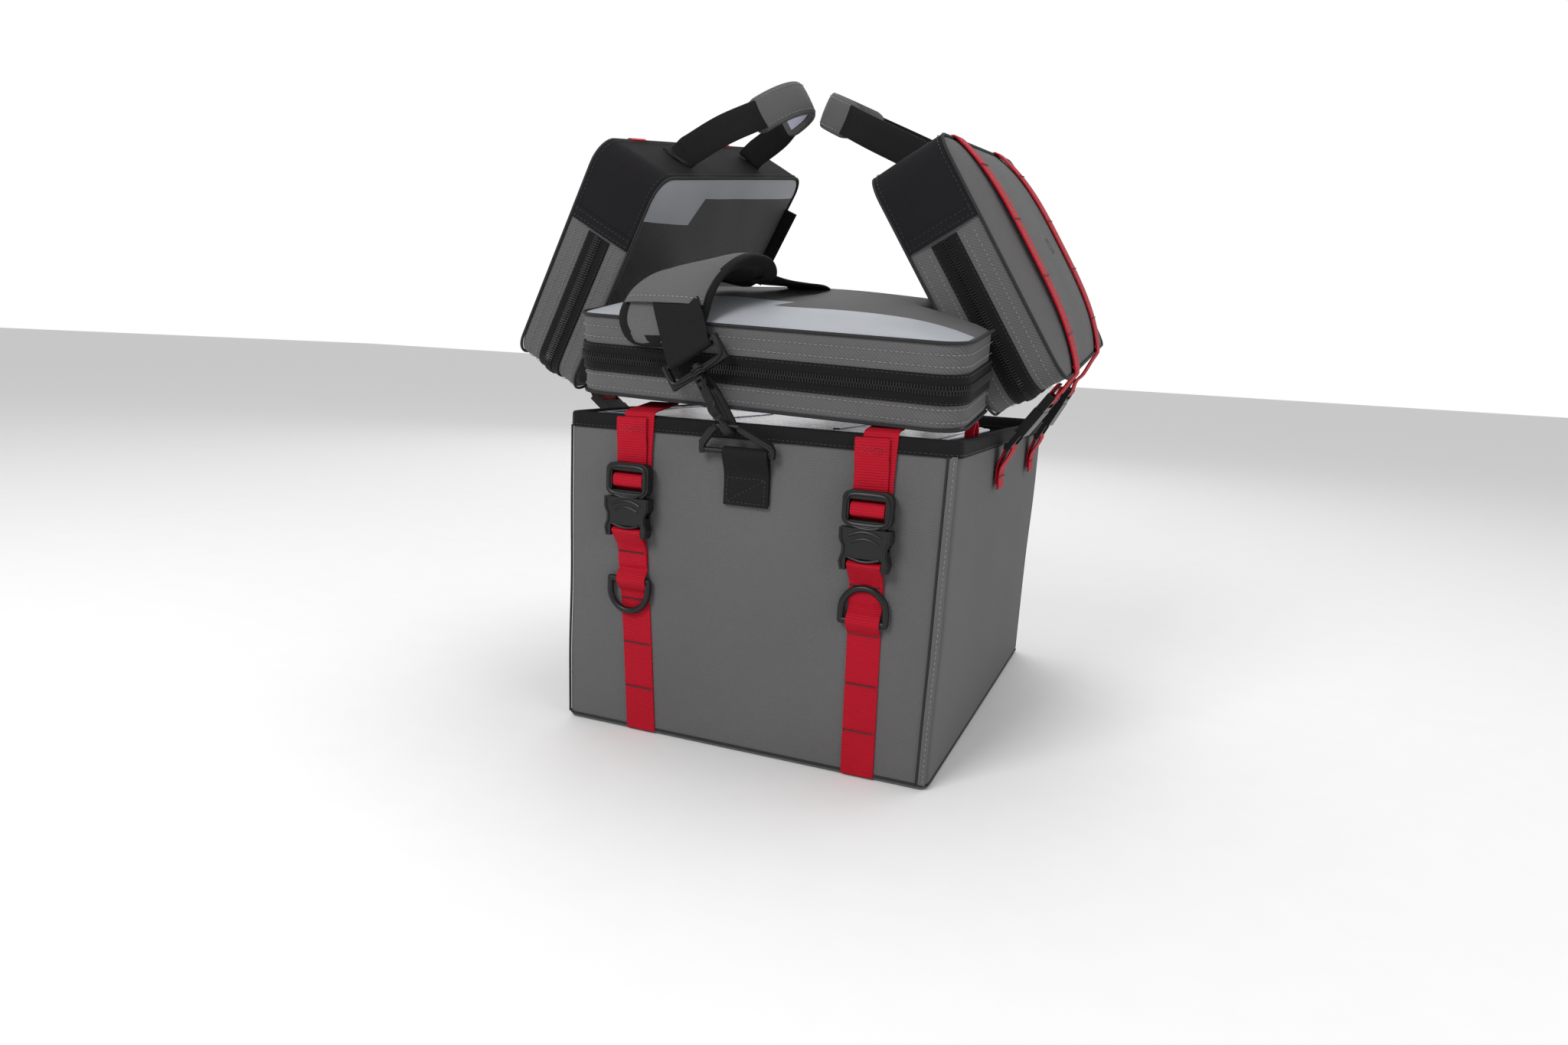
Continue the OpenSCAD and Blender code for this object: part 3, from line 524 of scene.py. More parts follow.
@dataclass
class Stock:
    """Vertices and faces gathered before they become one piece, with the lay of the cloth at each."""

    verts: list[Array] = field(default_factory=list)
    faces: list[tuple[int, ...]] = field(default_factory=list)
    lays: list[Array] = field(default_factory=list)
    count: int = 0

    def add(self, verts: Array, faces: Iterable[Sequence[int]], lay: Array | None = None) -> None:
        """Put a shape in.

        Args:
            verts: Its vertices.
            faces: Its faces.
            lay: Where each vertex lies on the cloth: along, across and through.
        """
        self.verts.append(verts)
        self.faces.extend(tuple(int(i) + self.count for i in f) for f in faces)
        self.lays.append(verts if lay is None else lay)
        self.count += len(verts)

    def loft(self, rings: Array, lay: Array, closed: bool = False) -> None:
        """Put in a skin over a run of rings.

        Args:
            rings: Rings by corners by three.
            lay: The lay of the cloth at the same points.
            closed: True where the last ring meets the first.
        """
        self.add(rings.reshape(-1, 3), ring_faces(*rings.shape[:2], closed), lay.reshape(-1, 3))

    def tube_of(self, line: Array, radius: float, closed: bool = False, corners: int = 8,
                up: Array | None = None) -> None:
        """Put in a round cord or rod.

        Args:
            line: Its middle line.
            radius: Its radius.
            closed: True for a ring.
            corners: How many sides it has.
            up: A direction that is never along the line.
        """
        run = unit(np.roll(line, -1, 0) - np.roll(line, 1, 0)) if closed else run_of(line)
        away = np.array([0.0, 0.0, 1.0]) if up is None else np.asarray(up, float)
        if np.abs(run @ away).max() > 0.97 and up is None:
            away = np.array([0.31, 0.67, 0.67])
        side = unit(np.cross(run, away))
        over = np.cross(side, run)
        turn = np.linspace(0, 2 * math.pi, corners, endpoint=False)
        ring = side[:, None] * np.cos(turn)[None, :, None] + over[:, None] * np.sin(turn)[None, :, None]
        self.loft(line[:, None] + ring * radius, sheet_lay(length_of(line), turn * radius), closed)

    def strap(self, line: Array, sides: Array, width: float, thick: float, rib: float = 0.0,
              row: float = 0.0019) -> None:
        """Put in flat webbing with rounded edges.

        Args:
            line: Its middle line.
            sides: The direction of its width at each point.
            width: Its width.
            thick: Its thickness.
            rib: How far the ribs rise, as a share of the thickness.
            row: Distance between ribs.
        """
        half = np.array([-0.5, -0.492, -0.46, -0.2, 0.2, 0.46, 0.492])
        across = np.r_[half, -half]
        through = np.array([0, 0.7, 1, 1, 1, 1, 0.7, 0, -0.7, -1, -1, -1, -1, -0.7]) * 0.5
        sides = unit(np.broadcast_to(np.asarray(sides, float), line.shape))
        out = unit(np.cross(sides, run_of(line)))
        along = length_of(line)
        swell = 1 + rib * np.sin(2 * math.pi * along / row)
        verts = (line[:, None] + sides[:, None] * (across * width)[None, :, None]
                 + out[:, None] * (through[None] * thick * swell[:, None])[..., None])
        lay = np.stack(np.broadcast_arrays(along[:, None], across[None] * width, through[None] * thick), -1)
        self.loft(verts, lay)

    def slab(self, top: Array, bottom: Array, lay: Array | None = None) -> None:
        """Put in a closed sheet between two grids of points.

        Args:
            top: The upper grid, rows by columns by three.
            bottom: The lower grid, of the same shape.
            lay: The lay of the cloth on the grid.
        """
        rows, columns = top.shape[:2]
        index = np.arange(rows * columns).reshape(rows, columns)
        low = index + rows * columns
        faces = grid_faces(index) + [f[::-1] for f in grid_faces(low)]
        edge = np.r_[index[0, :-1], index[:-1, -1], index[-1, :0:-1], index[:0:-1, 0]]
        under, after = edge + rows * columns, np.roll(edge, -1)
        faces += list(zip(edge, under, after + rows * columns, after))
        verts = np.vstack([top.reshape(-1, 3), bottom.reshape(-1, 3)])
        self.add(verts, faces, None if lay is None else np.vstack([lay.reshape(-1, 3)] * 2))

    def stitches(self, line: Array, out: Array, dash: float = 2.6 * MM, gap: float = 1.5 * MM,
                 radius: float = 0.36 * MM) -> None:
        """Put in a row of stitches.

        Args:
            line: The seam.
            out: The direction away from the cloth at each point, or one for all.
            dash: Length of a stitch.
            gap: Gap between stitches.
            radius: Half the thread's width.
        """
        out = unit(np.broadcast_to(np.asarray(out, float), line.shape))
        along = length_of(line)
        starts = np.arange(gap, along[-1] - dash, dash + gap)
        if not len(starts):
            return
        shares = np.array([0, 0.18, 0.82, 1.0])
        places = starts[:, None] + shares[None] * dash
        centre = np.stack([np.interp(places, along, line[:, k]) for k in range(3)], -1)
        over = unit(np.stack([np.interp(places, along, out[:, k]) for k in range(3)], -1))
        run = unit(centre[:, 3:4] - centre[:, 0:1])
        side = np.cross(run, over)
        lift = np.array([-0.6, 0.6, 0.6, -0.6])[None, :, None] * radius
        centre = centre + over * lift
        corners = []
        for k in (1, 2):
            for a, b in ((1, 0), (0, 1), (-1, 0), (0, -1)):
                corners.append(centre[:, k] + (side[:, k] * a + over[:, k] * b) * radius)
        verts = np.stack([centre[:, 0], *corners, centre[:, 3]], 1)
        faces = [(0, 1 + (i + 1) % 4, 1 + i) for i in range(4)]
        faces += [(1 + i, 1 + (i + 1) % 4, 5 + (i + 1) % 4, 5 + i) for i in range(4)]
        faces += [(9, 5 + i, 5 + (i + 1) % 4) for i in range(4)]
        for k, shape in enumerate(verts):
            self.add(shape, faces)

    def piece(self, name: str, soft_edge: float = 35.0) -> bpy.types.Object:
        """Make the object.

        Args:
            name: Its name.
            soft_edge: Edges flatter than this many degrees are shaded smooth.

        Returns:
            The new object, at the origin.
        """
        obj = mesh_object(name, np.vstack(self.verts), self.faces)
        mesh = obj.data
        set_points(mesh, LAY, np.vstack(self.lays))
        work = bmesh.new()
        work.from_mesh(mesh)
        bmesh.ops.recalc_face_normals(work, faces=work.faces)
        work.to_mesh(mesh)
        work.free()
        mesh.shade_smooth()
        mark_sharp(mesh, soft_edge)
        return obj


def mesh_object(name: str, places: Array, faces: list[tuple[int, ...]]) -> bpy.types.Object:
    """Make an object from points and faces.

    Args:
        name: Its name.
        places: Its vertices.
        faces: Its faces.

    Returns:
        The new object, at the origin.
    """
    mesh = bpy.data.meshes.new(name)
    mesh.from_pydata(places.tolist(), [], faces)
    obj = bpy.data.objects.new(name, mesh)
    bpy.context.scene.collection.objects.link(obj)
    return obj


def mark_sharp(mesh: bpy.types.Mesh, angle: float) -> None:
    """Keep edges steeper than angle, in degrees, crisp."""
    mesh.set_sharp_from_angle(angle=math.radians(angle))


def set_points(mesh: bpy.types.Mesh, name: str, values: Array) -> None:
    """Write a vector to each vertex."""
    layer = mesh.attributes.new(name, "FLOAT_VECTOR", "POINT")
    layer.data.foreach_set("vector", np.ascontiguousarray(values, np.float32).ravel())


def read_numbers(items: object, key: str) -> Array:
    """One whole number from each of a mesh's corners or faces."""
    values = np.zeros(len(items), np.int32)
    items.foreach_get(key, values)
    return values


def set_box_lay(mesh: bpy.types.Mesh, places: Array) -> None:
    """Lay cloth over a closed form as flat panels: each face takes the two axes that it faces least.

    Args:
        mesh: The mesh.
        places: Its vertices in the piece's own square axes.
    """
    if LAY in mesh.attributes:
        mesh.attributes.remove(mesh.attributes[LAY])
    layer = mesh.attributes.new(LAY, "FLOAT_VECTOR", "CORNER")
    corner, sizes, starts = (
        read_numbers(items, key) for items, key in
        ((mesh.loops, "vertex_index"), (mesh.polygons, "loop_total"), (mesh.polygons, "loop_start")))
    a, b, c = (places[corner[starts + k]] for k in range(3))
    facing = np.repeat(np.abs(np.cross(b - a, c - a)).argmax(1), sizes)
    keep = np.array([[2, 1], [2, 0], [0, 1]])[facing]
    spot = places[corner]
    lay = np.zeros((len(corner), 3), np.float32)
    rows = np.arange(len(corner))
    lay[:, 0], lay[:, 1] = spot[rows, keep[:, 0]], spot[rows, keep[:, 1]]
    layer.data.foreach_set("vector", lay.ravel())


def grid_faces(index: Array) -> list[tuple[int, ...]]:
    """Four-sided faces over a grid of vertex numbers."""
    a, b, c, d = index[:-1, :-1], index[1:, :-1], index[1:, 1:], index[:-1, 1:]
    return list(zip(a.ravel(), b.ravel(), c.ravel(), d.ravel()))


def ring_faces(rings: int, corners: int, closed: bool) -> list[tuple[int, ...]]:
    """Faces along a run of rings, with flat ends unless it closes on itself.

    Args:
        rings: How many rings there are.
        corners: How many points each has.
        closed: True where the last ring meets the first.

    Returns:
        The faces, as vertex numbers.
    """
    index = np.arange(rings * corners).reshape(rings, corners)
    index = np.column_stack([index, index[:, 0]])
    if closed:
        index = np.vstack([index, index[0]])
    faces = grid_faces(index)
    if not closed:
        faces += [tuple(range(corners))[::-1], tuple(range((rings - 1) * corners, rings * corners))]
    return faces


def wave(points: Array, scale: float, seed: int) -> Array:
    """Smooth, repeatable unevenness at each point, from about -1 to 1.

    Args:
        points: The places.
        scale: Waves to a metre.
        seed: Picks the pattern.

    Returns:
        One value for each place.
    """
    draw = np.random.default_rng(seed)
    total = np.zeros(len(points))
    for _ in range(7):
        way = unit(draw.normal(size=3)) * scale * draw.uniform(0.6, 1.8) * 2 * math.pi
        total += np.sin(points @ way + draw.uniform(0, 2 * math.pi))
    return total / 3.2


def dress(obj: bpy.types.Object, finish: Finish, body: str,
          replaces: Iterable[str] = ()) -> bpy.types.Object:
    """Give a piece its finish and let it ride.

    Args:
        obj: The piece.
        finish: Its finish.
        body: The body that it rides on.
        replaces: The frame's nodes that it stands for.

    Returns:
        The same piece.
    """
    paint(obj, finish)
    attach(obj, body)
    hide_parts(*replaces)
    log.info("%s: %d faces on %s", obj.name, len(obj.data.polygons), body)
    return obj


def paint(obj: bpy.types.Object, finish: Finish) -> None:
    """Give an object one finish."""
    obj.data.materials.clear()
    obj.data.materials.append(finish.material())


def ease_edges(obj: bpy.types.Object, radius: float, finish: Finish) -> None:
    """Round a moulded node's edges and give it its finish.

    Args:
        obj: The node's object.
        radius: How far the edges are rounded.
        finish: Its finish.
    """
    paint(obj, finish)
    bevel = obj.modifiers.new("eased", "BEVEL")
    bevel.width, bevel.segments, bevel.limit_method = radius, 2, "ANGLE"
    bevel.angle_limit, bevel.use_clamp_overlap = math.radians(EASED_ANGLE), True
    obj.data.shade_smooth()
    mark_sharp(obj.data, EASED_ANGLE)
    log.info("%s: moulded", obj.name)


# ---------- studio ----------


@dataclass
class Studio:
    """Camera, floor and soft lights."""

    camera_place: tuple[float, float, float] = (0.2899, -0.8617, 0.2997)
    azimuth: float = 21.44
    elevation: float = 9.51
    roll: float = 3.25
    lens: float = 22.85
    floor_size: float = 40.0
    bright_side: float = 1.0
    dim_side: float = 0.3

    def build(self) -> None:
        """Make the camera first, then the floor and the lights."""
        self.build_camera()
        self.build_floor()
        self.build_light("key", (-0.55, -1.9, 1.55), 0.9, 30.0)
        self.build_light("fill", (2.1, -1.1, 0.9), 1.2, 8.0)
        self.build_light("top", (0.1, 0.4, 2.3), 1.4, 10.5)
        self.build_light("rear", (-0.9, 2.0, 1.3), 1.4, 7.0)
        world = bpy.data.worlds.new("white_room")
        world.use_nodes = True
        sky = world.node_tree.nodes["Background"]
        sky.inputs[0].default_value = (1.0, 1.0, 1.0, 1.0)
        way = world.node_tree.nodes.new("ShaderNodeTexCoord").outputs["Generated"]
        split = world.node_tree.nodes.new("ShaderNodeSeparateXYZ")
        span = world.node_tree.nodes.new("ShaderNodeMapRange")
        for key, value in zip((1, 2, 3, 4), (-0.3, 0.45, self.dim_side, self.bright_side)):
            span.inputs[key].default_value = value
        world.node_tree.links.new(way, split.inputs[0])
        world.node_tree.links.new(split.outputs[1], span.inputs[0])
        world.node_tree.links.new(span.outputs[0], sky.inputs[1])
        bpy.context.scene.world = world
        bpy.context.scene.view_settings.view_transform = "Standard"

    def build_camera(self) -> None:
        """Stand the camera where the crate is seen from its front and a little from its right."""
        a, e, r = (math.radians(x) for x in (self.azimuth, self.elevation, self.roll))
        back = np.array([math.sin(a) * math.cos(e), -math.cos(a) * math.cos(e), math.sin(e)])
        level = unit(np.cross(-back, [0, 0, 1]))
        rise = np.cross(level, -back)
        right = math.cos(r) * level + math.sin(r) * rise
        up = np.cross(back, right)
        camera = bpy.data.objects.new("camera", bpy.data.cameras.new("camera"))
        camera.data.lens = self.lens
        camera.data.sensor_width = 36.0
        camera.data.clip_start, camera.data.clip_end = 0.05, 50.0
        camera.matrix_world = frame_matrix(np.column_stack([right, up, back]), self.camera_place)
        bpy.context.scene.collection.objects.link(camera)
        bpy.context.scene.camera = camera

    def build_floor(self) -> None:
        """Lay a wide pale floor."""
        spots = np.linspace(-self.floor_size / 2, self.floor_size / 2, 5)
        top = np.array([[(x, y, -0.0005) for x in spots] for y in spots])
        stock = Stock()
        stock.slab(top, top - [0, 0, 0.01])
        floor = stock.piece("floor")
        g = Graph("pale_floor", {"IOR": 1.4})
        speck = g.noise(30.0, 3.0)
        g.finish(g.mix(speck, (0.86, 0.86, 0.86), (0.89, 0.89, 0.89)), g.span(speck, 0.7, 0.8), speck,
                 0.0002, 0.1)
        floor.data.materials.append(g.material)

    def build_light(self, name: str, place: tuple[float, float, float], size: float, power: float) -> None:
        """Hang a soft square light that faces the crate.

        Args:
            name: Its name.
            place: Where it hangs.
            size: Its side.
            power: Its power in watts.
        """
        data = bpy.data.lights.new(name, "AREA")
        data.energy, data.size = power, size
        light = bpy.data.objects.new(name, data)
        back = unit(np.array(place) - [0.0, 0.0, 0.25])
        side = unit(np.cross([0, 0, 1], back))
        light.matrix_world = frame_matrix(np.column_stack([side, np.cross(back, side), back]), place)
        bpy.context.scene.collection.objects.link(light)


def frame_matrix(axes: Array, origin: Sequence[float]) -> Matrix:
    """The matrix of a frame from its three axes, as columns, and its origin."""
    whole = np.eye(4)
    whole[:3, :3], whole[:3, 3] = axes, origin
    return Matrix(whole.tolist())


def turn_about(axis: str, degrees: float) -> Array:
    """A turn about X, Y or Z as a 3 by 3 matrix."""
    return np.array(Matrix.Rotation(math.radians(degrees), 3, axis))


# ---------- crate ----------


@dataclass
class Crate:
    """The open crate: padded walls, lining, bound rim, piped seams and rim loops."""

    width: float = 0.310
    depth: float = 0.400
    height: float = 0.250
    corner: float = 0.007
    wall: float = 0.005
    taper: float = 0.026
    rim: float = 0.012
    seam_x: float = 0.1465

    def build(self) -> None:
        """Build the crate's own pieces."""
        self.outline = self.make_outline()
        self.build_walls()
        self.build_binding()
        self.build_seams()
        self.build_rim_loops()

    def make_outline(self) -> Array:
        """Walk round the crate with a point at about every 6 mm.

        Returns:
            Rows of place (x, y, 0) and outward direction.
        """
        half = np.array([self.width, self.depth]) / 2 - self.corner
        rows = []
        for k, (sx, sy) in enumerate(((1, 1), (-1, 1), (-1, -1), (1, -1))):
            centre = half * (sx, sy)
            for turn in np.linspace(k * math.pi / 2, (k + 1) * math.pi / 2, 5):
                way = np.array([math.cos(turn), math.sin(turn)])
                rows.append((*(centre + way * self.corner), 0.0, *way))
            start = np.array(rows[-1][:2])
            end = half * ((-1, 1), (-1, -1), (1, -1), (1, 1))[k] + way * self.corner
            count = int(np.linalg.norm(end - start) / (6 * MM))
            for t in np.linspace(0, 1, count, endpoint=False)[1:]:
                rows.append((*(start * (1 - t) + end * t), 0.0, *way))
        rows = np.array(rows)
        keep = np.linalg.norm(np.diff(rows[:, :2], axis=0, append=rows[:1, :2]), axis=1) > 1e-6
        return rows[keep]

    def settle(self, points: Array) -> Array:
        """Let the cloth lean in towards the floor, bow between its corners and wander at the rim.

        Args:
            points: Places on the straight-sided crate.

        Returns:
            Where they really lie.
        """
        out = np.array(points, float)
        share = np.clip(out[..., 2] / self.height, 0, 1)
        rise = np.sin(math.pi * share)
        flat = out.reshape(-1, 3)
        lumps = wave(flat, 6.0, 11).reshape(share.shape) * 0.55 * MM
        bow_y = 1.0 * MM * rise * np.cos(math.pi * out[..., 0] / self.width) ** 2
        bow_x = 1.6 * MM * rise * np.cos(math.pi * out[..., 1] / self.depth) ** 2
        front = np.clip(np.abs(out[..., 1]) / (self.depth / 2) * 12 - 11, 0, 1)
        end = np.clip(np.abs(out[..., 0]) / (self.width / 2) * 12 - 11, 0, 1)
        out[..., 1] += np.sign(out[..., 1]) * front * (bow_y + lumps * rise - 0.3 * MM)
        out[..., 0] += np.sign(out[..., 0]) * end * (bow_x + 1.6 * lumps * rise - 1.2 * MM)
        out[..., 0] *= 1 - self.taper * (1 - share)
        wander = 0.9 * MM * share ** 3 * wave(flat * [1, 1, 0], 3.0, 5).reshape(share.shape)
        out[..., 2] += wander - 0.6 * MM * share ** 3
        return out

    def front(self, x: Array, z: Array, proud: float) -> Array:
        """Find places on the front wall.

        Args:
            x: Where they are across it.
            z: Their heights on the straight-sided crate.
            proud: How far they stand off its cloth.

        Returns:
            The places.
        """
        x, z = np.broadcast_arrays(np.asarray(x, float), np.asarray(z, float))
        flat = np.stack([x, np.full(x.shape, -self.depth / 2), z], -1)
        lain = self.settle(flat)
        lain[..., 0] = x
        return lain - [0, proud, 0]

    def ring(self, inset: float, z: float) -> Array:
        """The outline moved in by inset, at height z."""
        line = self.outline
        return np.column_stack([line[:, :2] - line[:, 3:5] * inset, np.full(len(line), z)])

    def build_walls(self) -> None:
        """Loft the outer cloth over the boards, and the lining inside it."""
        heights = np.r_[0, 1.5 * MM, np.linspace(5 * MM, self.height - 2 * MM, 34)]
        inner = np.linspace(self.height - 2 * MM, self.wall, 12)
        skin = 2.4 * MM
        outer = [self.ring(1.2 * MM if z == 0 else 0.0, z) for z in heights]
        shells = (
            ("crate_cloth", outer + [self.ring(skin, z) for z in np.r_[inner[:-1], skin]], WALL_CLOTH,
             ("front_wall", "back_wall", "left_wall", "right_wall", "floor_panel")),
            ("crate_lining", [self.ring(skin + 0.1 * MM, z) for z in np.r_[skin + 0.1 * MM,
                                                                           inner[::-1][1:]]]
             + [self.ring(self.wall, z) for z in inner], LINING, ()))
        for name, rings, finish, nodes in shells:
            verts = np.vstack(rings)
            stock = Stock()
            stock.add(self.settle(verts), ring_faces(len(rings), len(self.outline), False))
            obj = stock.piece(name, SOFT_EDGE)
            set_box_lay(obj.data, verts)
            dress(obj, finish, "crate", nodes)

    def build_binding(self) -> None:
        """Fold ribbed tape over the rim and sew it."""
        fold = np.array([(1.2, -12), (1.35, -7), (1.2, -2.2), (0.4, -0.5), (-2.5, 0.1), (-5.3, -0.5),
                         (-6.1, -2.2),
                         (-6.3, -7), (-6.1, -12), (-5.2, -12), (-5.1, -2.4), (-2.5, -1.4), (-0.1, -2.4),
                         (0, -12)]) * MM
        line = self.outline
        along = length_of(line[:, :2])
        fine = np.linspace(0, along[-1] + 6 * MM, 620, endpoint=False)
        closed = np.vstack([line, line[:1]])
        ends = np.r_[along, along[-1] + 6 * MM]
        place = np.column_stack([np.interp(fine, ends, closed[:, k]) for k in range(5)])
        way = unit(place[:, 3:5])
        ribs = 0.12 * MM * np.sin(np.arange(len(fine)) * math.pi)
        across = fold[None, :, 0] + ribs[:, None]
        sides = [place[:, None, k] + way[:, None, k] * across for k in (0, 1)]
        verts = np.stack([*sides, np.broadcast_to(self.height + fold[None, :, 1], across.shape)], -1)
        stock = Stock()
        stock.loft(self.settle(verts), sheet_lay(fine, length_of(fold)), closed=True)
        dress(stock.piece("rim_tape", 60.0), BINDING, "crate", ("rim_binding",))
        seam = Stock()
        for inset in (-1.5 * MM, 6.45 * MM):
            row = self.ring(inset, self.height - 10 * MM)
            row = self.settle(np.vstack([row, row[:1]]))
            way = np.column_stack([line[:, 3:5], np.zeros(len(line))])
            seam.stitches(row, np.vstack([way, way[:1]]) * np.sign(-inset), 2.4 * MM, 1.2 * MM, 0.3 * MM)
        dress(seam.piece("rim_stitching"), BLACK_THREAD, "crate")

    def build_seams(self) -> None:
        """Pipe the upright corners and the foot, and sew the folded strip beside the front corner."""
        stock, sewing, strip = Stock(), Stock(), Stock()
        heights = np.linspace(4 * MM, self.height - 11 * MM, 60)
        edge, face = self.width / 2, self.depth / 2
        for x, y in ((self.seam_x, -face - 0.5 * MM), (-edge + 1.6 * MM, -face + 0.4 * MM),
                     (edge - 1.6 * MM, face - 0.4 * MM), (-self.seam_x, face + 0.5 * MM)):
            line = self.settle(np.column_stack([np.full(60, x), np.full(60, y), heights]))
            stock.tube_of(line, 0.95 * MM, up=(0, 1, 0))
        foot = self.settle(self.ring(0.1 * MM, 3.2 * MM))
        stock.tube_of(foot, 1.1 * MM, closed=True)
        # The piping's near-black colour is painted seam shade.
        dress(stock.piece("crate_piping"), PAINTED_SHADE_PIPING, "crate")
        for way in (-1, 1):
            x0, x1 = way * (edge - 1.5 * MM), way * self.seam_x
            xs = -np.linspace(x1 + 1.2 * MM * way, x0, 4)
            grid = np.stack(np.meshgrid(-xs, heights), -1)
            flat = np.stack([grid[..., 0], np.full(grid.shape[:2], way * -face), grid[..., 1]], -1)
            top = self.settle(flat) + [0, -way * 0.9 * MM, 0]
            strip.slab(top, top + [0, way * 1.1 * MM, 0], flat[..., [2, 0, 1]])
            seam = np.column_stack([np.full(60, way * (self.seam_x + 5 * MM)), np.full(60, -way * face),
                                    heights])
            row = self.settle(seam)
            sewing.stitches(row + [0, -way * 1.0 * MM, 0], (0, -way, 0), 2.4 * MM, 1.6 * MM, 0.25 * MM)
        dress(strip.piece("seam_strips"), WALL_CLOTH, "crate")
        dress(sewing.piece("seam_stitching"), GREY_THREAD, "crate")

    def build_rim_loops(self) -> None:
        """Fold red webbing through each link buckle's lower bar and sew both ends to the wall."""
        stock, tacks = Stock(), Stock()
        for case in (LEFT_CASE, RIGHT_CASE):
            sign = case.sign
            for v in case.strap_v:
                foot = case.link_foot(v)
                bar = foot * [sign, 1, 1]
                wall = self.width / 2
                line = [(wall + 1.6 * MM, 0, bar[2] - 30 * MM), (wall + 1.5 * MM, 0, bar[2] - 16 * MM),
                        (bar[0] - 2.6 * MM, 0, bar[2] - 3 * MM), (bar[0] - 2.5 * MM, 0, bar[2] + 1.5 * MM),
                        (bar[0], 0, bar[2] + 3 * MM), (bar[0] + 2.9 * MM, 0, bar[2]),
                        (bar[0] + 0.6 * MM, 0, bar[2] - 7 * MM), (wall + 3.6 * MM, 0, bar[2] - 18 * MM),
                        (wall + 3.2 * MM, 0, bar[2] - 34 * MM)]
                line = smooth_line(line, 0.5 * MM) * [sign, 1, 1] + [0, bar[1], 0]
                stock.strap(line, (0, 1, 0), 24 * MM, RED_THICK, RED_RIB)
                at = np.array([sign * (wall + 4.2 * MM), bar[1], bar[2] - 24 * MM])
                across = at + np.linspace(-0.5, 0.5, 12)[:, None] * [0, 23 * MM, 0]
                tacks.stitches(across, (sign, 0, 0), 1.2 * MM, 0.15 * MM, 0.55 * MM)
        arc = np.radians(np.linspace(-70, 250, 24))
        loop = np.column_stack([np.full(24, 0.1468), -0.131 + 0.009 * np.cos(arc),
                                0.249 + 0.011 * np.sin(arc)])
        stock.strap(even_line(loop, RIB_STEP), (1, 0, 0), 7 * MM, RED_THICK, RED_RIB)
        dress(stock.piece("rim_webbing_loops"), RED_WEBBING, "crate", ("rim_loops",))
        dress(tacks.piece("rim_loop_tacks"), TACK_THREAD, "crate")


# ---------- front straps ----------


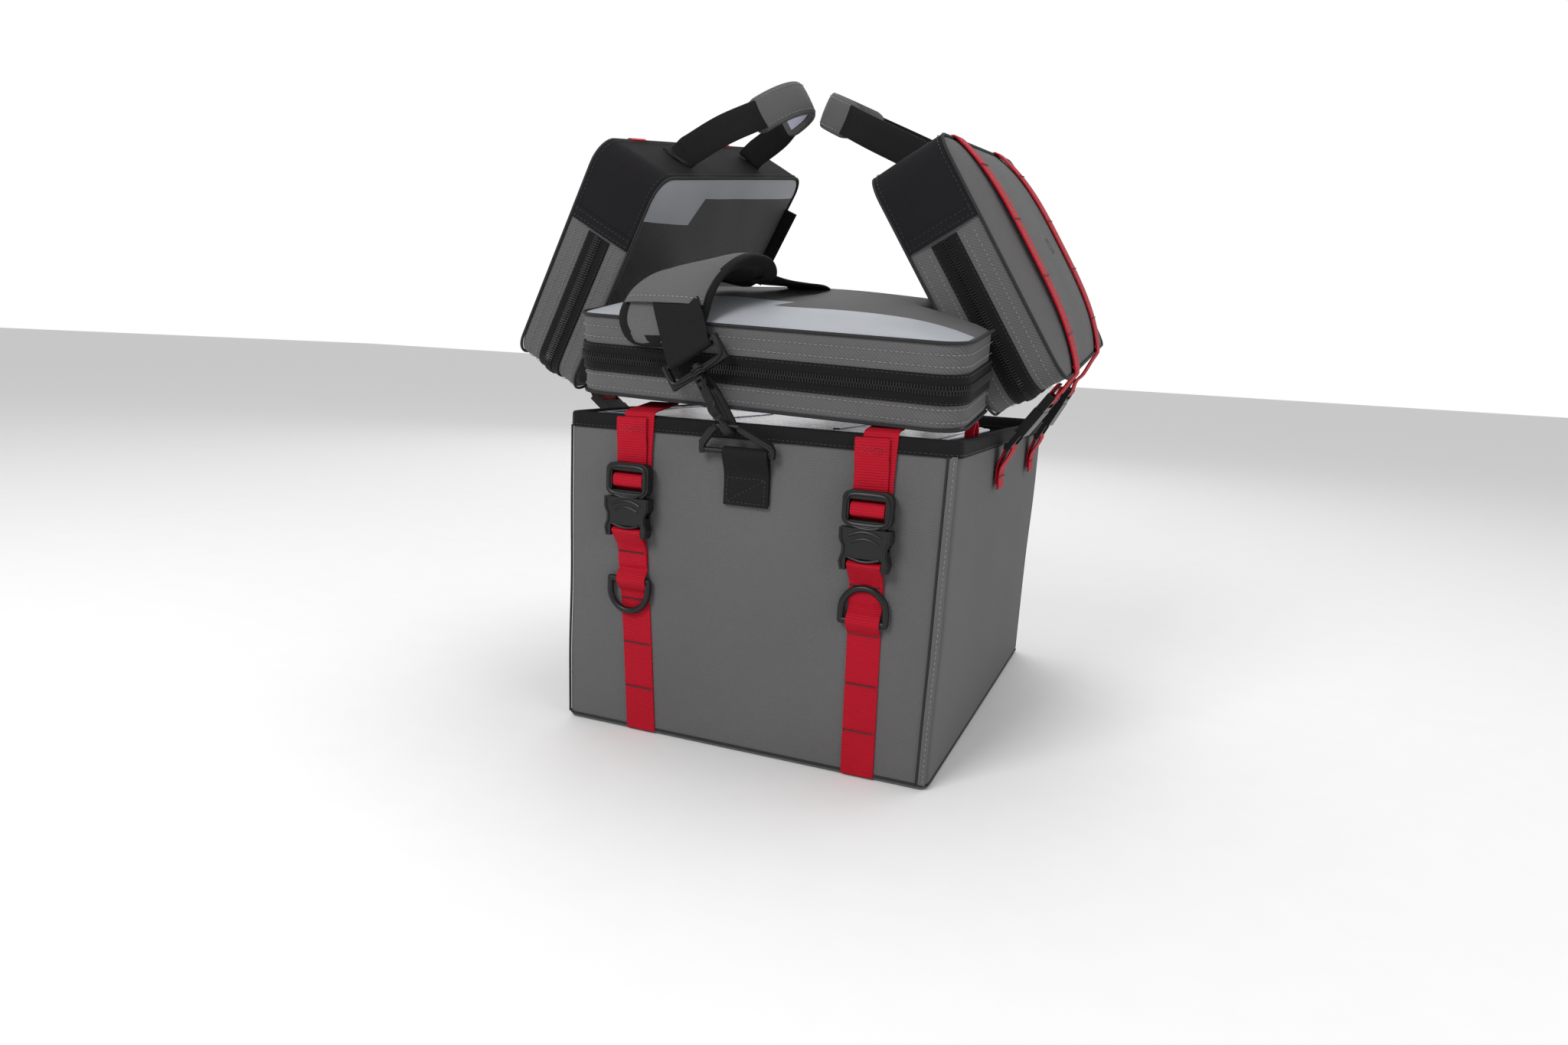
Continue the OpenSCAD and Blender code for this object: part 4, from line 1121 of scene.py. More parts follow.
@dataclass
class FrontStrap:
    """One front webbing: its daisy chain, D-ring, buckle and the strap over the rim."""

    name: str
    x: float
    foot_x: float
    buckle_z: float
    ring_z: float
    tacks: tuple[float, ...]
    crate: Crate
    width: float = 0.025
    thick: float = 0.0015
    buckle_y: float = -0.209
    ring_y: float = -0.2046
    plug_rise: float = 0.0304
    bar_rise: float = 0.0126

    def build(self) -> None:
        """Build this strap's pieces and finish its moulded nodes."""
        self.build_daisy_webbing()
        self.build_tether()
        self.build_wrap()
        self.build_buckle_detail()
        for node in ("dring", "buckle_female", "buckle_male"):
            ease_edges(FRAME["nodes"][f"{node}_{self.name}"], 0.5 * MM, BLACK_PLASTIC)

    def wall_line(self, heights: Array, proud: float) -> Array:
        """A line down the front wall, proud of it, that drifts to the strap's foot."""
        share = np.clip(1 - np.asarray(heights) / self.buckle_z, 0, 1)
        return self.crate.front(self.x + (self.foot_x - self.x) * share, heights, proud)

    def build_daisy_webbing(self) -> None:
        """Webbing from behind the buckle's bar, round it, over the D-ring's bar and down to the floor."""
        bar = self.buckle_z + 3.5 * MM
        low = self.wall_line(np.linspace(self.buckle_z - 22 * MM, self.buckle_z - 12 * MM, 3), 0.9 * MM)
        turn = [(self.buckle_y + 2.75 * MM, bar - 0.5 * MM), (self.buckle_y + 1.9 * MM, bar + 2.1 * MM),
                (self.buckle_y, bar + 2.85 * MM), (self.buckle_y - 1.9 * MM, bar + 2.1 * MM),
                (self.buckle_y - 2.8 * MM, bar - 0.5 * MM)]
        turn = np.array([(self.x, y, z) for y, z in turn])
        lead = self.wall_line(np.array([self.buckle_z - 8 * MM]), 3.4 * MM)
        rest = self.wall_line(np.array([self.buckle_z - 15 * MM, self.buckle_z - 22 * MM]), 2.6 * MM)
        near = self.ring_z + np.array([9.0, 4.5]) * MM
        ring_x = self.wall_line(np.array([self.ring_z]), 0)[0, 0]
        over = np.array([(ring_x, self.ring_y - 3.35 * MM, self.ring_z)])
        bridge = self.wall_line(near, 0.0) - np.array([[0, 1.6, 0], [0, 5.6, 0]]) * MM
        beyond = self.ring_z - np.array([4.5, 9.0]) * MM
        under = self.wall_line(beyond, 0.0) - np.array([[0, 5.6, 0], [0, 1.6, 0]]) * MM
        down = self.wall_line(np.linspace(self.ring_z - 15 * MM, 1.5 * MM, 14), 0.85 * MM)
        line = smooth_line(np.vstack([low, turn, lead, rest, bridge, over, under, down]), RIB_STEP)
        stock, tacks = Stock(), Stock()
        stock.strap(line, (1, 0, 0), self.width, self.thick, RED_RIB)
        dress(stock.piece(f"daisy_cloth_{self.name}"), RED_WEBBING, "crate",
              (f"daisy_webbing_{self.name}",))
        for z in self.tacks:
            proud = 3.5 * MM if z > self.buckle_z - 20 * MM else 1.75 * MM
            centre = self.wall_line(np.array([z]), proud)[0]
            across = centre + np.linspace(-0.48, 0.48, 14)[:, None] * [self.width, 0, 0]
            tacks.stitches(across, (0, -1, 0), 1.25 * MM, 0.12 * MM, 0.62 * MM)
        dress(tacks.piece(f"daisy_tacks_{self.name}"), TACK_THREAD, "crate")

    def build_tether(self) -> None:
        """The strap over the rim and under the centre case, with its folded and sewn tail in front."""
        low = self.buckle_z + 34 * MM
        top = self.crate.height
        rear = [(0, -202.2, low / MM), (0.6, -202.3, 225), (1.2, -202.3, 244), (1.4, -201.9, 250.4),
                (1.5, -199.4, 252.3),
                (1.6, -195, 253.2), (1.6, -188, 254.1), (1.6, -165, 257.6)]
        tail = [(-3.4, -203.9, low / MM), (-3.0, -204.6, 222), (-3.6, -205.3, 236), (-3.8, -205.2, 245.4),
                (-3.8, -204.2, 247),
                (-3.7, -203.6, 244.5), (-3.6, -203.7, 234)]
        stock = Stock()
        for rows in (rear, tail):
            line = smooth_line(np.array(rows) * MM, RIB_STEP) + [self.x + 2 * MM, 0, 0]
            lean = np.interp(line[:, 2], [low, top], [0.0, 0.05])
            stock.strap(line, np.column_stack([np.ones(len(line)), lean, 0.02 * np.ones(len(line))]),
                        self.width, self.thick, RED_RIB)
        dress(stock.piece(f"tether_cloth_{self.name}"), RED_WEBBING, "crate",
              (f"tether_strap_{self.name}",))
        sewing = Stock()
        for z0 in (237.5, 240.5):
            n = 9
            xs = self.x / MM - 1.6 + np.linspace(-10.5, 10.5, n)
            zs = z0 + np.where(np.arange(n) % 2, 1.3, -1.3)
            line = even_line(np.column_stack([xs, np.full(n, -206.15), zs]) * MM, 0.5 * MM)
            sewing.stitches(line, (0, -1, 0), 2.1 * MM, 0.7 * MM, 0.32 * MM)
        dress(sewing.piece(f"tether_stitching_{self.name}"), RED_THREAD, "crate")

    def build_wrap(self) -> None:
        """The turn of strap on the plug half's bar."""
        centre = np.array([self.x, self.buckle_y, self.buckle_z + self.plug_rise + self.bar_rise])
        rows = np.array([(0, 2.8, 4.6), (0, 3.0, 0), (0, 2.7, -2.8), (0, 1.4, -4.2), (0, -1.4, -4.2),
                         (0, -3.0, -2.6),
                         (0, -3.2, 0), (0, -2.9, 3.0), (0, -1.2, 4.4), (0, 1.0, 4.7)]) * MM
        stock = Stock()
        stock.strap(smooth_line(rows, 0.45 * MM) + centre, (1, 0, 0), self.width, 1.3 * MM, 0.12)
        dress(stock.piece(f"wrap_cloth_{self.name}"), RED_WEBBING, f"plug_{self.name}",
              (f"strap_wrap_{self.name}",))

    def build_buckle_detail(self) -> None:
        """Raised lips on both halves: the ladder frame's rim, and the socket's brow, smile and sides."""
        plug, socket = Stock(), Stock()
        y = self.buckle_y - 3.7 * MM
        base = np.array([self.x, y, self.buckle_z + self.plug_rise])
        turn = np.linspace(0, 2 * math.pi, 64, endpoint=False)
        c, s = np.cos(turn), np.sin(turn)
        rim = np.column_stack([np.sign(c) * np.abs(c) ** 0.45 * 15.6, np.zeros(64),
                               13 + np.sign(s) * np.abs(s) ** 0.45 * 10.6])
        plug.tube_of(base + rim * MM, 1.35 * MM, closed=True, up=(0, 1, 0))
        for lift, wide, dip in ((3.6, 12.5, 2.6), (1.4, 10.0, 1.8)):
            xs = np.linspace(-wide, wide, 18)
            line = np.column_stack([xs, np.full(18, -0.1), lift - dip * np.cos(xs / wide * math.pi / 2)])
            plug.tube_of(base + line * MM, 0.9 * MM, up=(0, 1, 0))
        dress(plug.piece(f"plug_lips_{self.name}"), BLACK_PLASTIC, f"plug_{self.name}")
        base = np.array([self.x, self.buckle_y - 4.3 * MM, self.buckle_z])
        for lift, wide, dip, radius in ((24.5, 12.0, -3.4, 1.0), (20.0, 10.0, -3.0, 0.9),
                                        (9.5, 11.5, 2.4, 0.9)):
            xs = np.linspace(-wide, wide, 20)
            line = np.column_stack([xs, np.zeros(20), lift - dip * np.cos(xs / wide * math.pi / 2)])
            socket.tube_of(base + line * MM, radius * MM, up=(0, 1, 0))
        for way in (-1, 1):
            zs = np.linspace(1.5, 28.5, 24)
            xs = np.interp(zs, [0, 6, 12, 17, 22, 30], [15.6, 17.2, 15.0, 15.0, 17.4, 17.6]) * way
            socket.tube_of(base + np.column_stack([xs, np.zeros(24), zs]) * MM, 0.95 * MM, up=(0, 1, 0))
        dress(socket.piece(f"socket_lips_{self.name}"), BLACK_PLASTIC, "crate")


# ---------- shoulder strap ----------


@dataclass
class ShoulderStrap:
    """Tabs, rings, hooks, black webbing and the padded sleeve."""

    web_width: float = 0.038
    web_thick: float = 0.0018
    tab_width: float = 0.036
    ring_y: float = -0.2065
    ring_z: float = 0.229
    ring_top: tuple[float, float, float] = (-0.012, -0.2132, 0.24742)
    hook_lean: float = 33.0
    loop_rise: float = 0.060
    pad_width: float = 0.070
    pad_thick: float = 0.0085
    pad_rows: tuple[tuple[float, ...], ...] = (
        (-74, -207.9, 302, 0, 2), (-73, -209.3, 314, 0, 0), (-70, -209.6, 328, 0, 0),
        (-66, -206.6, 341.5, -6, 0),
        (-59, -199, 353.5, -14, 2), (-49, -187, 361.5, -22, 6), (-38, -173, 365, -29, 9),
        (-28, -159, 363, -33, 9),
        (-20, -147, 356, -36, 6))
    front_rows: tuple[tuple[float, ...], ...] = (
        (-49.5, -214.6, 310, 0, 24), (-53, -215.3, 322, 0, 12), (-56, -215.4, 331, 0, 4),
        (-58.5, -213.2, 339, 0, 0),
        (-59, -208.2, 346, -6, 0))
    rear_rows: tuple[tuple[float, ...], ...] = (
        (-24, -152, 357, -36, 6), (-14, -136, 355, -34, 2), (-6, -117, 355, -28, 0),
        (-3, -98, 355.5, -16, 0), (-8, -78, 354.5, 5, 0), (-24, -50, 356, 22, 0),
        (-37, -20, 357.5, 18, 0), (-44, 10, 357, 8, 0), (-42, 45, 353.5, -8, 0), (-30, 85, 348, -22, 0),
        (-8, 125, 341, -28, 0), (16, 158, 332, -25, -6), (33, 184, 321, -16, -16), (42, 202, 311, -6, -26))

    def build(self) -> None:
        """Build the strap's pieces and finish its moulded nodes."""
        self.build_tabs()
        self.build_webbing()
        self.build_pad()
        self.build_hook_detail()
        for node in ("front_ring", "rear_ring", "snap_hook", "hook_gate", "swivel_loop", "rear_snap_hook"):
            ease_edges(FRAME["nodes"][node], 0.45 * MM, BLACK_PLASTIC)

    def build_tabs(self) -> None:
        """Black webbing folded round each ring's bar and box-stitched to the wall."""
        rows = [(0, -201.0, 191), (0, -201.2, 214), (0, -203.4, 226), (0, -204.4, 230.4),
                (0, -206.5, 232.0),
                (0, -208.9, 230.5), (0, -209.4, 227.6), (0, -206.4, 220.5), (0, -203.6, 214),
                (0, -202.7, 205), (0, -202.6, 189.5)]
        line = smooth_line(np.array(rows) * MM, 0.5 * MM)
        corners = np.array([(-15, 0, 192), (15, 0, 192), (15, 0, 210), (-15, 0, 210), (-15, 0, 192),
                            (15, 0, 210)]) * MM
        for name, way in (("front", 1), ("rear", -1)):
            spin = np.array([way, way, 1])
            stock, sewing = Stock(), Stock()
            stock.strap(line * spin, (1, 0, 0), self.tab_width, self.web_thick, BLACK_RIB, BLACK_ROW)
            dress(stock.piece(f"{name}_tab_cloth"), BLACK_WEBBING, "crate", (f"{name}_tab",))
            box = even_line(corners, 1 * MM)
            box[:, 1] = -203.75 * MM
            sewing.stitches(box * spin, (0, -way, 0), 2.2 * MM, 1.2 * MM, 0.32 * MM)
            dress(sewing.piece(f"{name}_tab_stitching"), BLACK_THREAD, "crate")

    def hook_places(self, rows: Sequence[Sequence[float]]) -> Array:
        """Places given in the hook's own frame, in millimetres, moved to the row frame."""
        return np.array(rows) * MM @ turn_about("Y", -self.hook_lean).T + self.ring_top

    def build_hook_detail(self) -> None:
        """Moulded bulk of the front hook: a deep back, a waisted neck, and the gate's thumb tab."""
        stock, gate, barrel = Stock(), Stock(), Stock()
        for x in (-2.0, 0.0, 2.0):
            bow = np.radians(np.linspace(5, -185, 24))
            nose = np.column_stack([np.full(24, x * 0.8), 7.2 * np.cos(bow), 7.2 * np.sin(bow) + 1.6])
            back = smooth_line([(x, 7.4, 1.6), (x, 7.6, 10), (x, 7.6, 22), (x, 6.4, 31),
                                (x * 0.8, 4.4, 36), (x * 0.6, 2.6, 40)], 1.0)
            front = smooth_line([(x, -6.7, 33), (x, -5.6, 36), (x * 0.6, -3.0, 39.5)], 0.8)
            leaf = smooth_line([(x * 0.8, -6.8, 6.8), (x * 0.8, -7.2, 16),
                                (x * 0.9, -7.0, 26), (x * 0.9, -6.8, 31)], 1.0)
            tab = smooth_line([(x, -8.2, 10), (x, -10.6, 12.5), (x, -11.0, 15), (x, -8.4, 19)], 0.8)
            for part, rod, radius in ((stock, back, 2.3), (stock, nose, 1.9), (stock, front, 2.0),
                                      (gate, leaf, 1.9), (gate, tab, 1.5)):
                part.tube_of(self.hook_places(rod), radius * MM, up=(1, 0.2, 0))
        turn = np.linspace(0, 2 * math.pi, 40, endpoint=False)
        for z, radius in ((42.9, 5.3), (45.0, 5.0), (47.1, 5.3)):
            collar = np.column_stack([radius * np.cos(turn), radius * np.sin(turn), np.full(40, z)])
            barrel.tube_of(self.hook_places(collar), 0.9 * MM, closed=True, up=(0, 1, 0))
        frame = smooth_line([(-23, -2.3, 61), (-23.2, -2.4, 52), (-21, -2.4, 46.5), (-10, -2.5, 44.6),
                             (10, -2.5, 44.6), (21, -2.4, 46.5), (23.2, -2.4, 52), (23, -2.3, 61)], 1.0)
        barrel.tube_of(self.hook_places(frame), 1.2 * MM, up=(0, 1, 0))
        ring = Stock()
        for way in (-1, 1):
            side = np.array([(-7 + way * 27.3, -206.5, 226.5), (-7 + way * 27.9, -206.9, 230.5),
                             (-7 + way * 25.4, -208.6, 235.2), (-12 + way * 11.5, -212.4, 244.9),
                             (-12 + way * 8.6, -213.1, 247.2)]) * MM
            ring.tube_of(smooth_line(side, 1.0 * MM), 2.8 * MM, up=(0, 1, 0))
        for part, name, body in ((ring, "ring", "front_ring"), (stock, "hook", "snap_hook"),
                                 (gate, "gate", "hook_gate"), (barrel, "loop", "crate")):
            dress(part.piece(f"{name}_mouldings"), BLACK_PLASTIC, body)

    @staticmethod
    def widths(rows: Array) -> Array:
        """The direction of the width for rows of x, y, z, yaw and roll."""
        yaw, roll = np.radians(rows[:, 3]), np.radians(rows[:, 4])
        return np.column_stack([np.cos(yaw) * np.cos(roll), np.sin(yaw) * np.cos(roll), np.sin(roll)])

    def build_webbing(self) -> None:
        """Webbing round the loop's bar up to the pad, and from the pad to the rear hook."""
        rise = self.loop_rise / MM
        start = self.hook_places([(0, 2.4, rise + 13), (0, 2.7, rise + 2), (0, 1.9, rise - 2.3),
                                  (0, 0, rise - 3.1),
                                  (0, -2.1, rise - 2.2), (0, -2.9, rise + 1)])
        start = np.column_stack([start / MM, np.zeros(len(start)), np.full(len(start), self.hook_lean)])
        front = np.vstack([start, self.front_rows])
        back = start * [-1, -1, 1, 1, -1]
        back[:, 3] = 0
        rear = np.vstack([self.rear_rows, back[::-1]])
        stock = Stock()
        for rows in (front, rear):
            fine = smooth_line(rows, 0.55)
            stock.strap(fine[:, :3] * MM, self.widths(fine), self.web_width, self.web_thick, BLACK_RIB,
                        BLACK_ROW)
        dress(stock.piece("shoulder_cloth"), BLACK_WEBBING, "crate", ("shoulder_webbing",))

    def pad_grid(self) -> tuple[Array, Array, Array, Array]:
        """Lay out the pad's middle sheet.

        Returns:
            Its places, the width directions, the faces' directions and half its thickness.
        """
        fine = smooth_line(self.pad_rows, 2.0)
        line, side = fine[:, :3] * MM, self.widths(fine)
        out = unit(np.cross(side, run_of(line)))
        length = length_of(line)
        ends = 0.024
        near = np.minimum(length, length[-1] - length)
        narrow = np.sqrt(np.clip(1 - (1 - np.clip(near / ends, 0, 1)) ** 2, 0, 1))
        half = (self.pad_width / 2 - 9 * MM) + 9 * MM * narrow
        half = np.where(near < ends, self.pad_width / 2 * (0.42 + 0.58 * narrow), half)
        across = np.sin(np.linspace(-math.pi / 2, math.pi / 2, 25))
        bend = -2.4 * MM * across ** 2
        reach = side[:, None] * (half[:, None] * across[None])[..., None]
        grid = line[:, None] + reach + out[:, None] * bend[None, :, None]
        edge = (1 - across ** 6)[None] * (0.30 + 0.70 * np.sqrt(np.clip(near / 9e-3, 0, 1)))[:, None]
        lumps = wave(grid.reshape(-1, 3), 22.0, 3).reshape(edge.shape) * 0.35 * MM
        thick = np.maximum(edge * self.pad_thick / 2, 0.9 * MM) + lumps * edge
        return grid, side, np.broadcast_to(out[:, None], grid.shape), thick

    def build_pad(self) -> None:
        """A stuffed sleeve with a bound edge, an end panel that the webbing leaves from, and its stitching."""
        grid, side, out, thick = self.pad_grid()
        top, low = grid + out * thick[..., None], grid - out * thick[..., None]
        n, m = thick.shape
        cloth_lay = sheet_lay(length_of(grid[:, m // 2]), np.linspace(-0.5, 0.5, m) * self.pad_width)
        stock = Stock()
        stock.slab(top, low, cloth_lay)
        pad = dress(stock.piece("shoulder_sleeve", 70.0), PAD_CLOTH, "crate", ("shoulder_pad",))
        under, inset = Stock(), (slice(1, -1), slice(1, -1))
        under.slab(low[inset] + out[inset] * 0.3 * MM, low[inset] - out[inset] * 0.5 * MM, cloth_lay[inset])
        dress(under.piece("sleeve_lining", 70.0), LINING, "crate")
        index = [(i, 0) for i in range(n)] + [(n - 1, j) for j in range(1, m)]
        index += [(i, m - 1) for i in range(n - 2, -1, -1)] + [(0, j) for j in range(m - 2, 0, -1)]
        rows, columns = (np.array(k) for k in zip(*index))
        edge, over = grid[rows, columns], out[rows, columns]
        closed = unit(np.roll(edge, -1, 0) - np.roll(edge, 1, 0))
        away = unit(np.cross(closed, over))
        if (away[0] @ side[0]) > 0:
            away = -away
        fine = even_line(np.hstack([np.vstack([part, part[:1]]) for part in (edge, away, over)]),
                         0.7 * MM)[:-1]
        edge, away, over = fine[:, :3], unit(fine[:, 3:6]), unit(fine[:, 6:9])
        fold = np.array([(-7.5, 4.5), (-4, 3.6), (-0.5, 2.3), (1.1, 1.0), (1.4, 0), (1.1, -1.0),
                         (-0.5, -2.3), (-4, -3.6),
                         (-7.5, -4.5), (-7.4, -3.4), (-0.4, -1.2), (-0.4, 1.2), (-7.4, 3.4)]) * MM
        verts = edge[:, None] + away[:, None] * fold[None, :, :1] + over[:, None] * fold[None, :, 1:]
        band = Stock()
        band.loft(verts, sheet_lay(length_of(edge), length_of(fold)), closed=True)
        dress(band.piece("sleeve_binding", 70.0), BINDING, "crate")
        sewing, flap = Stock(), Stock()
        k = int(n * 0.235)
        cuff = slice(k, k + 16)
        keep = slice(3, m - 3)
        arch = 1 - 0.55 * np.linspace(-1, 1, m)[keep] ** 2
        lift = (np.linspace(1.0, 0.0, 16)[:, None] ** 0.8 * 4.0 * arch[None] + 0.35)[..., None] * MM
        upper = top[cuff, keep] + out[cuff, keep] * lift
        flap.slab(upper, upper - out[cuff, keep] * np.minimum(lift + 0.4 * MM, 1.3 * MM),
                  cloth_lay[cuff, keep])
        dress(flap.piece("sleeve_cuff"), PAD_CLOTH, "crate")
        row = upper[2] + out[k + 2, keep] * 0.25 * MM
        sewing.stitches(row, out[k + 2, keep], 2.4 * MM, 1.3 * MM, 0.32 * MM)
        dress(sewing.piece("sleeve_stitching"), GREY_THREAD, "crate")


# ---------- utility boxes ----------


@dataclass
class UtilityBoxes:
    """The stack of clear boxes: thin trays with dividers, and clouded lids with ribs and latches."""

    count: int = 5
    length: float = 0.279
    width: float = 0.184
    pitch: float = 0.0488
    centre_y: float = -0.099
    foot: float = 0.005
    lid: float = 0.0085
    corner: float = 0.010

    def build(self) -> None:
        """Build the trays, their dividers, the lids and the latches."""
        trays, dividers, lids, latches = Stock(), Stock(), Stock(), Stock()
        for k in range(self.count):
            base = self.foot + k * (self.pitch + 0.00005)
            self.add_tray(trays, base)
            self.add_dividers(dividers, base)
            self.add_lid(lids, base + self.pitch - self.lid - 0.2 * MM)
            self.add_latches(latches, base + self.pitch - 11 * MM)
        for stock, name, finish, nodes in ((trays, "box_tray_shells", CLEAR_PLASTIC, ("box_trays",)),
                                           (dividers, "box_dividers", CLEAR_PLASTIC, ()),
                                           (lids, "box_lid_shells", CLOUDED_PLASTIC, ("box_lids",)),
                                           (latches, "box_latches", CLOUDED_PLASTIC, ())):
            dress(stock.piece(name, 30.0), finish, "crate", nodes)

    def ring(self, inset: float, z: float) -> Array:
        """Draw the rounded outline.

        Args:
            inset: How far in it is moved.
            z: Its height.

        Returns:
            Its places.
        """
        corner = max(self.corner - inset, 1.5 * MM)
        half = np.array([self.length, self.width]) / 2 - inset - corner
        turns = np.arange(4)[:, None] * math.pi / 2 + np.linspace(0, math.pi / 2, 6)[None]
        signs = np.array([(1, 1), (-1, 1), (-1, -1), (1, -1)])
        flat = (half * signs)[:, None] + corner * np.stack([np.cos(turns), np.sin(turns)], -1)
        flat = flat.reshape(-1, 2)
        return np.column_stack([flat[:, 0], flat[:, 1] + self.centre_y, np.full(len(flat), z)])

    def add_tray(self, stock: Stock, base: float) -> None:
        """One tray: a thin tapered shell with a turned rim and a foot.

        Args:
            stock: Where they are gathered.
            base: The height that they start from.
        """
        rim = base + self.pitch - 9.4 * MM
        profile = [(6.0, 0.4), (5.2, 0.2), (4.4, 1.4), (3.4, 37.0), (1.2, 37.8), (1.2, 39.3), (4.2, 39.3),
                   (5.0, 36.5),
                   (5.8, 3.0), (7.4, 1.8)]
        rings = [self.ring(inset * MM, min(base + z * MM, rim)) for inset, z in profile]
        stock.add(np.vstack(rings), ring_faces(len(rings), len(rings[0]), False))

    def add_dividers(self, stock: Stock, base: float) -> None:
        """Thin walls across and along one tray.

        Args:
            stock: Where they are gathered.
            base: The height that they start from.
        """
        low, high = base + 2.2 * MM, base + 33 * MM
        x_half, y_half = self.length / 2 - 6.4 * MM, self.width / 2 - 6.4 * MM
        walls = [(-x_half, y0, x_half, y0) for y0 in (-0.030, 0.030)]
        walls += [(x0, -y_half, x0, -0.0312) for x0 in np.linspace(-0.1, 0.1, 6)]
        walls += [(x0, 0.0312, x0, y_half) for x0 in np.linspace(-0.09, 0.09, 4)]
        for x0, y0, x1, y1 in walls:
            run = unit(np.array([x1 - x0, y1 - y0]))
            side = np.array([-run[1], run[0]]) * 0.5 * MM
            lean = side * 0.6
            corners = []
            for z, grow in ((low, side), (high, lean)):
                for px, py, s in ((x0, y0, -1), (x1, y1, -1), (x1, y1, 1), (x0, y0, 1)):
                    corners.append((px + grow[0] * s, py + grow[1] * s + self.centre_y, z))
            stock.add(np.array(corners), ring_faces(2, 4, False))

    def add_lid(self, stock: Stock, base: float) -> None:
        """One lid: a skirt, a raised panel and stacking ribs.

        Args:
            stock: Where they are gathered.
            base: The height that they start from.
        """
        profile = [(0.0, 0.0), (0.0, 6.6), (0.6, 7.5), (5.0, 7.7), (6.0, 8.4), (9.0, 8.4), (10.0, 7.4),
                   (20.0, 7.2), (20.4, 6.2),
                   (9.0, 6.2), (4.0, 6.2), (1.2, 5.6), (1.2, 0.0)]
        for shape, closed in ((profile, True), (((19.9, 7.15), (19.9, 6.25)), False)):
            rings = [self.ring(inset * MM, base + z * MM) for inset, z in shape]
            stock.add(np.vstack(rings), ring_faces(len(rings), len(rings[0]), closed))
        along = np.linspace(-0.055, 0.055, 14) + self.centre_y
        for x in (-0.05, 0.05):
            line = np.column_stack([np.full(14, x), along, np.full(14, base + 7.5 * MM)])
            stock.strap(line, (1, 0, 0), 6 * MM, 1.0 * MM)

    def add_latches(self, stock: Stock, base: float) -> None:
        """Two folded latches on the front of one box.

        Args:
            stock: Where they are gathered.
            base: The height that they start from.
        """
        y = self.centre_y - self.width / 2
        rows = np.array([(0, 0.6, 9.6), (0, -0.9, 9.4), (0, -1.7, 7.0), (0, -1.9, 1.0), (0, -1.5, -4.5),
                         (0, -2.1, -7.2)]) * MM
        for x in (-0.080, 0.080):
            stock.strap(smooth_line(rows, 0.8 * MM) + [x, y, base], (1, 0, 0), 20 * MM, 1.3 * MM)


# ---------- zip cases ----------


